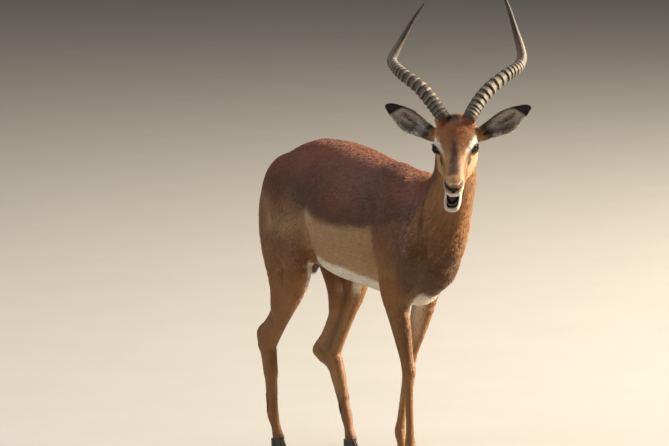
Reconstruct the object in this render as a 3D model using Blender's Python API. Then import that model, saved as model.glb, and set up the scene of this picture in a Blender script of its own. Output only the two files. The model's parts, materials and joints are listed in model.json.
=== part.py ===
"""A standing impala ram, head turned to its right front, mouth a little open.

Metres. +X is the animal's left, -Y its front, +Z up; the ground is z = 0.
"""
import copy
import math

import bmesh
import bpy
import numpy as np
import openvdb

F4 = np.float32


def unit(v):
    v = np.asarray(v, float)
    return v / max(np.linalg.norm(v), 1e-12)


def spline(rows, n):
    """Cubic curve through rows (places and sizes alike), by chord length of the first three columns."""
    r = np.asarray(rows, float)
    d = np.r_[0, np.cumsum(np.linalg.norm(np.diff(r[:, :3], axis=0), axis=1))]
    m = np.empty_like(r)
    m[1:-1] = (r[2:] - r[:-2]) / (d[2:] - d[:-2])[:, None]
    m[0] = (r[1] - r[0]) / (d[1] - d[0])
    m[-1] = (r[-1] - r[-2]) / (d[-1] - d[-2])
    t = np.linspace(0, d[-1], n)
    i = np.clip(np.searchsorted(d, t, side="right") - 1, 0, len(d) - 2)
    h = (d[i + 1] - d[i])[:, None]
    u = ((t - d[i]) / (d[i + 1] - d[i]))[:, None]
    return (
        r[i] * (2 * u**3 - 3 * u**2 + 1)
        + m[i] * h * (u**3 - 2 * u**2 + u)
        + r[i + 1] * (3 * u**2 - 2 * u**3)
        + m[i + 1] * h * (u**3 - u**2)
    )


class Tube:
    """A body of changing oval section along a curve. Each row is x, y, z, half width, half height
    above and below the line, and the two exponents of the section. side is its width direction."""

    def __init__(self, rows, side=(1, 0, 0), n=20, cap=(1.0, 1.0)):
        full = []
        for r in rows:
            r = list(r)
            if len(r) == 4:
                r += [r[3], r[3]]
            if len(r) == 5:
                r += [r[4]]
            if len(r) == 6:
                r += [2.0, 2.0]
            full.append(r)
        s = spline(full, n)
        self.c = s[:, :3]
        self.r = np.maximum(s[:, 3:6], 5e-4)
        self.e = np.clip(s[:, 6:8], 1.2, 8)
        t = np.gradient(self.c, axis=0)
        self.t = t / np.linalg.norm(t, axis=1)[:, None]
        side = np.asarray(side, float)
        if side.ndim == 1:
            side = np.tile(side, (n, 1))
        else:
            k = np.linspace(0, len(side) - 1, n)
            side = np.stack([np.interp(k, np.arange(len(side)), side[:, j]) for j in range(3)], 1)
        a = side - (side * self.t).sum(1)[:, None] * self.t
        self.s = a / np.linalg.norm(a, axis=1)[:, None]
        self.u = np.cross(self.s, self.t)
        self.cap = cap

    def bounds(self):
        m = self.r.max(1)[:, None]
        return (self.c - m).min(0), (self.c + m).max(0)

    def near(self, p):
        """Per point: place along the tube, 0 to n-1, and its offset in the local axes."""
        n = len(p)
        best = np.full(n, 1e9, F4)
        at = np.zeros(n, F4)
        c = self.c.astype(F4)
        for i in range(len(c) - 1):
            a, ab = c[i], c[i + 1] - c[i]
            l2 = float(ab @ ab)
            if l2 < 1e-14:
                continue
            q = p - a
            w = np.clip((q @ ab) / l2, 0, 1)
            q -= w[:, None] * ab
            d = np.einsum("ij,ij->i", q, q)
            m = d < best
            best = np.where(m, d, best)
            at = np.where(m, i + w, at)
        i = np.minimum(at.astype(np.int32), len(c) - 2)
        w = (at - i)[:, None]

        def mix(x):
            x = x.astype(F4)
            return x[i] * (1 - w) + x[i + 1] * w

        q = p - mix(self.c)
        return at, (q * mix(self.s)).sum(1), (q * mix(self.u)).sum(1), (q * mix(self.t)).sum(1), mix(self.r), mix(self.e)

    def dist(self, p):
        at, s, u, t, r, e = self.near(p)
        up = u > 0
        a = r[:, 0]
        b = np.where(up, r[:, 1], r[:, 2])
        n = np.where(up, e[:, 0], e[:, 1])
        c = np.where(at < 0.5, self.cap[0], self.cap[1]) * np.minimum(a, b)
        return oval(np.stack([s / a, u / b, t / c], 1), np.stack([a, b, c], 1), n)


def oval(q, r, n):
    """First order distance to |q| = 1 in the n-norm, where q is a place over r."""
    q = np.abs(q) + 1e-6
    n = np.asarray(n, F4)
    if n.ndim == 0 and float(n) == 2.0 or (n.ndim and np.all(n == 2.0)):
        g = np.sqrt((q * q).sum(1))
        grad = np.sqrt(((q / r) ** 2).sum(1)) / g
    else:
        nn = np.broadcast_to(n, (len(q),))[:, None]
        g = ((q**nn).sum(1)) ** (1 / nn[:, 0])
        grad = np.sqrt((((q ** (nn - 1)) / r) ** 2).sum(1)) * g ** (1 - nn[:, 0])
    return (g - 1) / np.maximum(grad, 1e-3)


class Ball:
    """An ellipsoid. axes are its three directions, as rows."""

    def __init__(self, c, r, axes=None, e=2.0):
        self.c, self.r = np.asarray(c, float), np.asarray(r, float) * np.ones(3)
        self.a = np.eye(3) if axes is None else np.asarray(axes, float)
        self.e = e

    def bounds(self):
        m = self.r.max()
        return self.c - m, self.c + m

    def dist(self, p):
        q = (p - self.c.astype(F4)) @ self.a.T.astype(F4)
        r = self.r.astype(F4)[None, :]
        return oval(q / r, r, self.e)


class Swell:
    """A soft bump (amount > 0) or hollow along a line, of the given reach."""

    def __init__(self, pts, reach, amount, side=(1, 0, 0)):
        pts = np.asarray(pts, float)
        if len(pts) == 1:
            pts = np.vstack([pts, pts + 1e-4])
        rows = [list(p) + [1.0] for p in pts]
        self.t = Tube(rows, side, n=max(2, 4 * (len(pts) - 1) + 1))
        self.c, self.reach, self.amount = self.t.c, reach, amount

    def bounds(self):
        return self.c.min(0) - 2.2 * self.reach, self.c.max(0) + 2.2 * self.reach

    def add(self, p):
        c = self.c.astype(F4)
        best = np.full(len(p), 1e9, F4)
        for i in range(len(c) - 1):
            a, ab = c[i], c[i + 1] - c[i]
            q = p - a
            w = np.clip((q @ ab) / max(float(ab @ ab), 1e-12), 0, 1)
            q = q - w[:, None] * ab
            best = np.minimum(best, np.einsum("ij,ij->i", q, q))
        return self.amount * np.exp(-best / self.reach**2)


def mirrored(x):
    """The same shape on the other side."""
    m = copy.deepcopy(x)
    if isinstance(m, Tube):
        m.c[:, 0] *= -1
        m.t[:, 0] *= -1
        m.s[:, 0] *= -1
        m.s *= -1
        m.u = np.cross(m.s, m.t)
    elif isinstance(m, Ball):
        m.c[0] *= -1
        m.a = m.a * [-1, 1, 1]
    elif isinstance(m, Swell):
        m.c = m.c * [-1, 1, 1]
    return m


def smin(a, b, k):
    h = np.maximum(k - np.abs(a - b), 0) / k
    return np.minimum(a, b) - h * h * k * 0.25


def smax(a, b, k):
    return -smin(-a, -b, k)


class Shape:
    """A list of steps: add a body with a blend width, cut one, or swell."""

    def __init__(self):
        self.steps = []

    def add(self, prim, k=0.02, frame=None, both=False):
        self.steps.append(("add", prim, k, frame))
        if both:
            self.steps.append(("add", mirrored(prim), k, frame))

    def cut(self, prim, k=0.005, frame=None, both=False):
        self.steps.append(("cut", prim, k, frame))
        if both:
            self.steps.append(("cut", mirrored(prim), k, frame))

    def swell(self, prim, frame=None, both=False):
        self.steps.append(("swell", prim, 0, frame))
        if both:
            self.steps.append(("swell", mirrored(prim), 0, frame))

    def boxes(self, band):
        found = []
        for kind, prim, k, frame in self.steps:
            lo, hi = prim.bounds()
            if frame is not None:
                o, R = frame
                cs = np.array([[(lo, hi)[i][0], (lo, hi)[j][1], (lo, hi)[l][2]] for i in (0, 1) for j in (0, 1) for l in (0, 1)])
                cs = cs @ R + o
                lo, hi = cs.min(0), cs.max(0)
            m = (k + band) if kind != "swell" else 0.0
            found.append((lo - m, hi + m))
        return found

    def value(self, p, start=0.06, boxes=None, steps=None):
        p = np.ascontiguousarray(p, F4)
        f = np.full(len(p), start, F4)
        lo_p, hi_p = p.min(0), p.max(0)
        for i, (kind, prim, k, frame) in enumerate(self.steps):
            if steps is not None and not steps(i):
                continue
            sel = None
            if boxes is not None:
                lo, hi = boxes[i]
                if (lo > hi_p).any() or (hi < lo_p).any():
                    continue
                sel = np.nonzero(((p >= lo) & (p <= hi)).all(1))[0]
                if not len(sel):
                    continue
            q = p if sel is None else p[sel]
            g = f if sel is None else f[sel]
            if frame is not None:
                o, R = frame
                q = (q - o.astype(F4)) @ R.T.astype(F4)
            if kind == "add":
                g = smin(g, prim.dist(q), k)
            elif kind == "cut":
                g = smax(g, -prim.dist(q), k)
            else:
                g = g - prim.add(q)
            if sel is None:
                f = g.astype(F4)
            else:
                f[sel] = g
        return f


def axis_lines(lo, hi, fine, step, fine_step, ease=1.25):
    """Grid lines from lo to hi, close together inside fine = (a, b) and easing out of it."""
    if fine is None:
        n = int(math.ceil((hi - lo) / step))
        return lo + step * np.arange(n + 1)
    a, b = max(fine[0], lo), min(fine[1], hi)
    mid = list(np.arange(a, b + fine_step * 0.5, fine_step))
    up, s = [], fine_step
    x = mid[-1]
    while x < hi:
        s = min(s * ease, step)
        x += s
        up.append(x)
    dn, s = [], fine_step
    x = mid[0]
    while x > lo:
        s = min(s * ease, step)
        x -= s
        dn.append(x)
    return np.array(dn[::-1] + mid + up)


def field(shape, xs, ys, zs, block=8, inset=None, band=0.02):
    """The shape's value on the grid, worked out only near its surface."""
    B = block
    pad = lambda a: np.r_[a, a[-1] + (a[-1] - a[-2]) * np.arange(1, (-len(a)) % B + 1)]
    X, Y, Z = pad(xs), pad(ys), pad(zs)
    nb = [len(a) // B for a in (X, Y, Z)]
    mids = [a.reshape(-1, B).mean(1) for a in (X, Y, Z)]
    half = [np.ptp(a.reshape(-1, B), axis=1) * 0.5 * (B + 1) / B for a in (X, Y, Z)]
    g = np.stack(np.meshgrid(*mids, indexing="ij"), -1).reshape(-1, 3)
    hd = np.sqrt(sum(m.reshape(-1) ** 2 for m in np.meshgrid(*half, indexing="ij")))
    # coarse look at block centres, in slabs to keep boxes useful
    boxes = shape.boxes(band + 0.03)
    v = np.empty(len(g), F4)
    per = nb[1] * nb[2]
    for i in range(nb[0]):
        sl = slice(i * per, (i + 1) * per)
        v[sl] = shape.value(g[sl], start=0.06, boxes=boxes)
    live = np.abs(v) < 1.5 * hd + 0.004
    out = np.where(v > 0, 0.06, -0.06).astype(F4)
    full = np.empty((len(X), len(Y), len(Z)), F4)
    blocks = full.reshape(nb[0], B, nb[1], B, nb[2], B)
    blocks[:] = out.reshape(nb)[:, None, :, None, :, None]
    ids = np.nonzero(live)[0]
    bi, rem = np.divmod(ids, per)
    bj, bk = np.divmod(rem, nb[2])
    boxes = shape.boxes(band)
    # group neighbouring blocks so that one call covers a small region
    key = (bi // 4) * 10000 + (bj // 4) * 100 + (bk // 4)
    order = np.argsort(key, kind="stable")
    cuts = np.r_[0, np.nonzero(np.diff(key[order]))[0] + 1, len(order)]
    r = np.arange(B)
    for a, b in zip(cuts[:-1], cuts[1:]):
        o = order[a:b]
        I = (bi[o][:, None, None, None] * B + r[None, :, None, None])
        J = (bj[o][:, None, None, None] * B + r[None, None, :, None])
        K = (bk[o][:, None, None, None] * B + r[None, None, None, :])
        I, J, K = np.broadcast_arrays(I, J, K)
        p = np.stack([X[I], Y[J], Z[K]], -1).reshape(-1, 3).astype(F4)
        w = shape.value(p, start=0.06, boxes=boxes)
        if inset is not None:
            w = w + inset(p)
        full[I.reshape(-1), J.reshape(-1), K.reshape(-1)] = w
    return full[: len(xs), : len(ys), : len(zs)]


def surface(full, xs, ys, zs, openvdb):
    """Quads of the zero surface, in metres."""
    grid = openvdb.FloatGrid()
    grid.background = 0.06
    grid.copyFromArray(np.ascontiguousarray(full))
    pts, quads = grid.convertToQuads(isovalue=0.0)
    co = np.stack([np.interp(pts[:, i], np.arange(len(a)), a) for i, a in enumerate((xs, ys, zs))], 1)
    return co, quads


# ---- the animal -------------------------------------------------------------------------
# metres; +X is the animal's left, -Y its front, +Z up, the ground at z = 0

def rad(a):
    return math.radians(a)


HEAD_YAW, HEAD_PITCH, HEAD_ROLL = rad(39), rad(36), rad(-2)
HEAD_AT = np.array([-0.060, -0.452, 1.034])
JAW = rad(18.3)


def head_axes():
    cy, sy, cp, sp = math.cos(HEAD_YAW), math.sin(HEAD_YAW), math.cos(HEAD_PITCH), math.sin(HEAD_PITCH)
    fwd = np.array([-sy * cp, -cy * cp, -sp])
    left = np.array([cy, -sy, 0.0])
    up = np.cross(left, -fwd)
    left, up = math.cos(HEAD_ROLL) * left - math.sin(HEAD_ROLL) * up, math.sin(HEAD_ROLL) * left + math.cos(HEAD_ROLL) * up
    return np.array([left, -fwd, up])


HEAD = (HEAD_AT, head_axes())


def head_point(x, f, z):
    return np.array([x, -f, z]) @ HEAD[1] + HEAD[0]


def rows_f(rows):
    """Head rows given as x, f (forward), z, sizes."""
    return [[r[0], -r[1], r[2]] + list(r[3:]) for r in rows]


def jaw_row(r):
    """A lower jaw row turned open about its joint."""
    jf, jz = 0.045, -0.022
    c, s = math.cos(JAW), math.sin(JAW)
    f, z = r[1] - jf, r[2] - jz
    return [r[0] - 0.070 * f, jf + f * c + z * s, jz - f * s + z * c] + list(r[3:])


TRUNK = [
    # y, top, bottom, half width
    (-0.335, 0.735, 0.630, 0.036),
    (-0.308, 0.786, 0.566, 0.055),
    (-0.26, 0.836, 0.524, 0.073),
    (-0.18, 0.865, 0.507, 0.088),
    (-0.08, 0.890, 0.512, 0.108),
    (0.02, 0.909, 0.524, 0.124),
    (0.12, 0.929, 0.533, 0.128),
    (0.22, 0.940, 0.556, 0.119),
    (0.30, 0.937, 0.592, 0.104),
    (0.38, 0.905, 0.635, 0.084),
    (0.440, 0.847, 0.675, 0.060),
    (0.475, 0.812, 0.700, 0.036),
]


def trunk_rows():
    out = []
    for y, top, bot, a in TRUNK:
        z = bot + 0.52 * (top - bot)
        out.append([0, y, z, a, top - z, z - bot, 2.1, 2.1])
    return out


EYE_R = 0.0168
EYE = (0.0450, 0.0988, 0.0086)          # x, f, z in the head
LID = (0.70, 0.71, -0.05)             # from the outer to the inner corner: inward, forward, up
EYE_LOOK = unit([0.67, -0.61, 0.42])  # outward, forward, up in the head's own axes


def lid_axes(sg, out):
    """Along the lids towards the nose, out of the eye, and up, in the head's own axes."""
    a = local_frame(None, [sg * -LID[0], -LID[1], LID[2]], out)
    return a * [[1], [1], [sg]]


def mix(a, b, t):
    return a * (1 - t) + b * t


# shoulder, elbow, wrist, fetlock, pastern end
FORE = {
    -1: [(-0.076, -0.272, 0.632), (-0.070, -0.178, 0.505), (-0.066, -0.234, 0.318), (-0.064, -0.240, 0.105), (-0.064, -0.262, 0.050)],
    1: [(0.070, -0.228, 0.628), (0.064, -0.132, 0.505), (0.048, -0.076, 0.315), (0.048, -0.034, 0.105), (0.047, -0.050, 0.050)],
}
# hip, knee, hock, point of the hock, fetlock, pastern end
HIND = {
    -1: [(-0.074, 0.335, 0.750), (-0.104, 0.245, 0.535), (-0.096, 0.425, 0.312), (-0.096, 0.472, 0.350), (-0.090, 0.416, 0.105), (-0.088, 0.396, 0.050)],
    1: [(0.074, 0.335, 0.750), (0.105, 0.230, 0.535), (0.079, 0.343, 0.284), (0.073, 0.427, 0.287), (0.078, 0.276, 0.105), (0.077, 0.258, 0.050)],
}


def legs(shape):
    for sgn in (-1, 1):
        B, E, C, F, P = (np.array(v) for v in FORE[sgn])
        # shoulder blade and its muscle
        top = np.array([sgn * 0.044, -0.170, 0.850])
        shape.add(Tube([
            list(top) + [0.016, 0.030, 0.026],
            list(mix(top, B, 0.30)) + [0.026, 0.066, 0.040],
            list(mix(top, B, 0.62)) + [0.030, 0.085, 0.046],
            list(mix(top, B, 0.92)) + [0.034, 0.080, 0.044],
        ], n=16), k=0.035)
        # upper arm
        shape.add(Tube([
            list(B + [0, 0.004, 0.020]) + [0.028, 0.044, 0.034],
            list(mix(B, E, 0.45)) + [0.030, 0.044, 0.036],
            list(E + [0, 0, 0.02]) + [0.027, 0.036, 0.034],
        ], n=12), k=0.04)
        # triceps
        shape.add(Ball(mix(B, E, 0.62) + [sgn * 0.004, 0.042, 0.062], (0.027, 0.050, 0.105), [[1, 0, 0], [0, 0.93, 0.37], [0, -0.37, 0.93]]), k=0.025)
        rows = [
            list(E + [sgn * 0.002, 0.0, 0.06]) + [0.028, 0.043, 0.050],
            list(E) + [0.0305, 0.044, 0.044],
            list(mix(E, C, 0.15)) + [0.0290, 0.038, 0.043],
            list(mix(E, C, 0.35)) + [0.0262, 0.031, 0.038],
            list(mix(E, C, 0.62)) + [0.0218, 0.0240, 0.0300],
            list(mix(E, C, 0.86)) + [0.0192, 0.0200, 0.0230],
            list(C) + [0.0212, 0.0205, 0.0225],
            list(mix(C, F, 0.09)) + [0.0180, 0.0190, 0.0175],
            list(mix(C, F, 0.25)) + [0.0130, 0.0150, 0.0125],
            list(mix(C, F, 0.60)) + [0.0118, 0.0145, 0.0110],
            list(mix(C, F, 0.88)) + [0.0125, 0.0160, 0.0120],
            list(F) + [0.0165, 0.0185, 0.0165],
            list(mix(F, P, 0.55)) + [0.0140, 0.0140, 0.0140],
            list(P) + [0.0165, 0.0170, 0.0165],
            list(P + [0, -0.006, -0.014]) + [0.0190, 0.018, 0.020],
        ]
        shape.add(Tube(rows, n=48, cap=(1.0, 0.3)), k=0.025)
    for sgn in (-1, 1):
        H, S, K, T, F, P = (np.array(v) for v in HIND[sgn])
        isch = np.array([sgn * 0.052, 0.470, 0.752])
        # haunch
        shape.add(Ball(H + [sgn * -0.004, 0.010, 0.014], (0.050, 0.138, 0.124)), k=0.035)
        # front of the thigh, hip to knee
        shape.add(Tube([
            list(H + [sgn * 0.004, -0.02, 0.0]) + [0.050, 0.10, 0.080],
            list(mix(H, S, 0.5) + [sgn * 0.006, 0.01, 0]) + [0.047, 0.080, 0.062],
            list(S + [0, 0.015, 0.025]) + [0.037, 0.055, 0.038],
            list(S + [0, 0.03, -0.03]) + [0.030, 0.045, 0.028],
        ], n=14), k=0.035)
        # back of the thigh, seat bone to calf
        back = 0.0 if sgn < 0 else 0.021      # the far thigh is fuller behind
        A = mix(S, K, 0.34) + [0, 0.054 + back, 0.0]
        shape.add(Tube([
            list(isch + [0, 0.002, 0.03]) + [0.022, 0.020, 0.05],
            list(isch + [sgn * 0.008, 0.006, -0.03]) + [0.032, 0.028, 0.06],
            list(mix(isch, A, 0.45) + [sgn * 0.012, 0.0, 0.0]) + [0.040, 0.032, 0.07],
            list(mix(isch, A, 0.80) + [sgn * 0.005, -0.008, 0.0]) + [0.034, 0.030, 0.055],
            list(A + [0, 0, -0.02]) + [0.024, 0.026, 0.035],
        ], n=18), k=0.03)
        # calf and its tendon down to the point of the hock
        shape.add(Tube([
            list(mix(S, K, 0.08) + [0, 0.060 + back, 0.0]) + [0.029, 0.036, 0.04],
            list(mix(S, K, 0.36) + [0, 0.044 + back, 0.004]) + [0.0225, 0.024, 0.035],
            list(mix(mix(S, K, 0.36) + [0, 0.044 + back, 0.004], T, 0.45) + [0, -0.006, 0.004]) + [0.0110, 0.0115, 0.034],
            list(mix(mix(S, K, 0.36) + [0, 0.044 + back, 0.004], T, 0.75) + [0, -0.006, 0.004]) + [0.0085, 0.0085, 0.036],
            list(T) + [0.0105, 0.0110, 0.034],
            list(mix(T, K, 0.5) + [0, 0.012, -0.02]) + [0.0115, 0.012, 0.020],
        ], n=26), k=0.028)
        if sgn > 0:
            shape.add(Tube([
                list(mix(S, K, 0.72) + [0, 0.028, 0.004]) + [0.007, 0.012, 0.014],
                list(mix(S, K, 0.88) + [0, 0.040, 0.002]) + [0.008, 0.014, 0.016],
                list(mix(K, T, 0.55) + [0, 0, -0.006]) + [0.010, 0.016, 0.018],
            ], n=12), k=0.012)
        # from the point of the hock down the back of the cannon
        shape.add(Tube([
            list(T + [0, -0.006, -0.006]) + [0.0110, 0.0110, 0.028],
            list(mix(T, mix(K, F, 0.16), 0.5) + [0, 0.008, -0.010]) + [0.0125, 0.0125, 0.022],
            list(mix(K, F, 0.24) + [0, 0.010, 0]) + [0.0145, 0.0130, 0.019],
            list(mix(K, F, 0.38) + [0, 0.004, 0]) + [0.0140, 0.0130, 0.018],
        ], n=16), k=0.014)
        # shin, hock, cannon, fetlock, pastern
        wide = 1.0 if sgn < 0 else 1.18
        shape.add(Tube([
            list(S + [0, 0.020, 0.01]) + [0.033, 0.036, 0.032],
            list(mix(S, K, 0.22)) + [0.029, 0.033, 0.028],
            list(mix(S, K, 0.50)) + [0.0235, 0.0285, 0.022],
            list(mix(S, K, 0.78)) + [0.0205, 0.0265, 0.0195],
            list(K) + [0.0225, 0.0300, 0.0215],
            list(mix(K, F, 0.10)) + [0.0212, 0.0275 * wide, 0.0215 * wide],
            list(mix(K, F, 0.25)) + [0.0192, 0.0250 * wide, 0.0205 * wide],
            list(mix(K, F, 0.55)) + [0.0180, 0.0225 * wide, 0.0190 * wide],
            list(mix(K, F, 0.85)) + [0.0158, 0.0200, 0.0162],
            list(F) + [0.0178, 0.0200, 0.0178],
            list(mix(F, P, 0.55)) + [0.0145, 0.0145, 0.0145],
            list(P) + [0.0168, 0.0170, 0.0165],
            list(P + [0, -0.006, -0.014]) + [0.0190, 0.018, 0.020],
        ], n=52, cap=(1.0, 0.3)), k=0.02)


def tail(shape):
    shape.add(Tube([
        [0, 0.448, 0.832, 0.028, 0.022, 0.03],
        [0, 0.496, 0.806, 0.021, 0.017, 0.020],
        [0, 0.525, 0.757, 0.016, 0.012, 0.014],
        [0, 0.535, 0.690, 0.016, 0.010, 0.012],
        [0, 0.536, 0.615, 0.017, 0.011, 0.013],
        [0, 0.533, 0.550, 0.013, 0.008, 0.009],
        [0, 0.531, 0.525, 0.006, 0.004, 0.005],
    ], n=26, cap=(1, 1.5)), k=0.010)


def body(shape, with_tail=True):
    shape.add(Tube(trunk_rows(), n=110), k=0.0001)
    # breast
    shape.add(Tube([
        [0, -0.284, 0.745, 0.058, 0.05, 0.060],
        [-0.004, -0.270, 0.670, 0.050, 0.048, 0.050],
        [-0.004, -0.230, 0.600, 0.038, 0.046, 0.043],
        [0, -0.198, 0.545, 0.036, 0.033, 0.030],
    ], n=34), k=0.055)
    shape.add(Ball((0, -0.238, 0.665), (0.070, 0.050, 0.095)), k=0.05)
    shape.add(Tube([
        [-0.004, -0.310, 0.700, 0.028, 0.033, 0.033],
        [-0.004, -0.315, 0.6600, 0.029, 0.033, 0.033],
        [-0.004, -0.304, 0.6260, 0.029, 0.034, 0.034],
        [-0.003, -0.285, 0.5990, 0.029, 0.034, 0.034],
        [-0.002, -0.258, 0.5800, 0.029, 0.034, 0.034],
        [0, -0.228, 0.5600, 0.029, 0.033, 0.033],
        [0, -0.200, 0.5400, 0.028, 0.031, 0.031],
    ], n=40), k=0.026)
    # neck
    hx = HEAD[1][0]
    top = head_point(0, -0.005, -0.02)
    shape.add(Tube([
        list(top) + [0.052, 0.040, 0.062],
        list(top * 0.62 + np.array([-0.008, -0.354, 0.84]) * 0.38) + [0.054, 0.058, 0.070],
        [-0.007, -0.368, 0.880, 0.060, 0.066, 0.076],
        [0.004, -0.302, 0.785, 0.064, 0.086, 0.096],
        [0.0, -0.235, 0.71, 0.062, 0.105, 0.100],
    ], side=[hx, hx * 0.5 + np.array([0.5, 0, 0]), [1, 0, 0], [1, 0, 0]], n=60), k=0.06)
    # crest of the withers, and the nape running down into it
    shape.add(Tube([
        [0, -0.315, 0.812, 0.026, 0.024, 0.03],
        [0, -0.25, 0.816, 0.02, 0.025, 0.03],
        [0, -0.19, 0.842, 0.022, 0.024, 0.03],
        [0, -0.10, 0.860, 0.02, 0.022, 0.03],
    ], n=24), k=0.05)
    # furrow behind the shoulder with the upper arm full before it, the fold before the thigh,
    # the edge of the hip, and the hollow before the shoulder blade
    for path, reach, rise in (
        ([(-0.101, -0.090, 0.790), (-0.105, -0.096, 0.720), (-0.102, -0.099, 0.672), (-0.090, -0.098, 0.600)], 0.020, -0.0065),
        ([(-0.098, -0.135, 0.720), (-0.098, -0.140, 0.660), (-0.090, -0.135, 0.600)], 0.032, 0.0040),
        ([(-0.119, 0.216, 0.722), (-0.112, 0.213, 0.675), (-0.104, 0.209, 0.642), (-0.091, 0.207, 0.606)], 0.015, -0.0070),
        ([(-0.124, 0.245, 0.725), (-0.118, 0.240, 0.670), (-0.110, 0.238, 0.620)], 0.020, 0.0035),
        ([(-0.121, 0.195, 0.742), (-0.117, 0.188, 0.700)], 0.014, 0.0030),
        ([(-0.100, 0.070, 0.863), (-0.111, 0.105, 0.843), (-0.119, 0.138, 0.818), (-0.123, 0.163, 0.785), (-0.123, 0.180, 0.755)], 0.013, 0.0026),
        ([(-0.104, 0.115, 0.868), (-0.115, 0.150, 0.845), (-0.122, 0.185, 0.810), (-0.124, 0.200, 0.775)], 0.020, -0.0030),
        ([(-0.060, -0.322, 0.850), (-0.066, -0.297, 0.820), (-0.076, -0.281, 0.788), (-0.086, -0.279, 0.750), (-0.093, -0.282, 0.710)], 0.020, -0.0040),
        ([(-0.046, -0.095, 0.885), (-0.064, -0.145, 0.856), (-0.080, -0.190, 0.815)], 0.018, 0.0025),
    ):
        shape.swell(Swell([np.array(q) for q in path], reach, rise), both=True)
    # sheath and scrotum
    shape.add(Tube([[0, 0.270, 0.594, 0.014, 0.014], [0, 0.205, 0.562, 0.012, 0.011], [0, 0.170, 0.549, 0.009, 0.009], [0, 0.156, 0.544, 0.006, 0.006]], n=12), k=0.016)
    shape.add(Ball((0, 0.345, 0.570), (0.026, 0.030, 0.040)), k=0.02)
    if with_tail:
        tail(shape)
    legs(shape)


def local_frame(o, x, y):
    """A frame at o with axes x, y made square to x, and their product."""
    x = unit(x)
    y = unit(np.asarray(y, float) - (np.asarray(y, float) @ x) * x)
    return np.array([x, y, np.cross(x, y)])


def hv(x, f, z):
    """A direction in the head's own axes, as used inside the head frame."""
    return np.array([x, -f, z], float)


NOSTRIL = [
    # x, f, z and the half sizes of the opening, from its upper outer end to the middle of the nose
    (0.0240, 0.2370, 0.0185, 0.0013, 0.0013),
    (0.0260, 0.2445, 0.0120, 0.0026, 0.0024),
    (0.0222, 0.2560, 0.0112, 0.0042, 0.0042),
    (0.0130, 0.2670, 0.0115, 0.0034, 0.0036),
    (0.0050, 0.2715, 0.0085, 0.0022, 0.0026),
]


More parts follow.
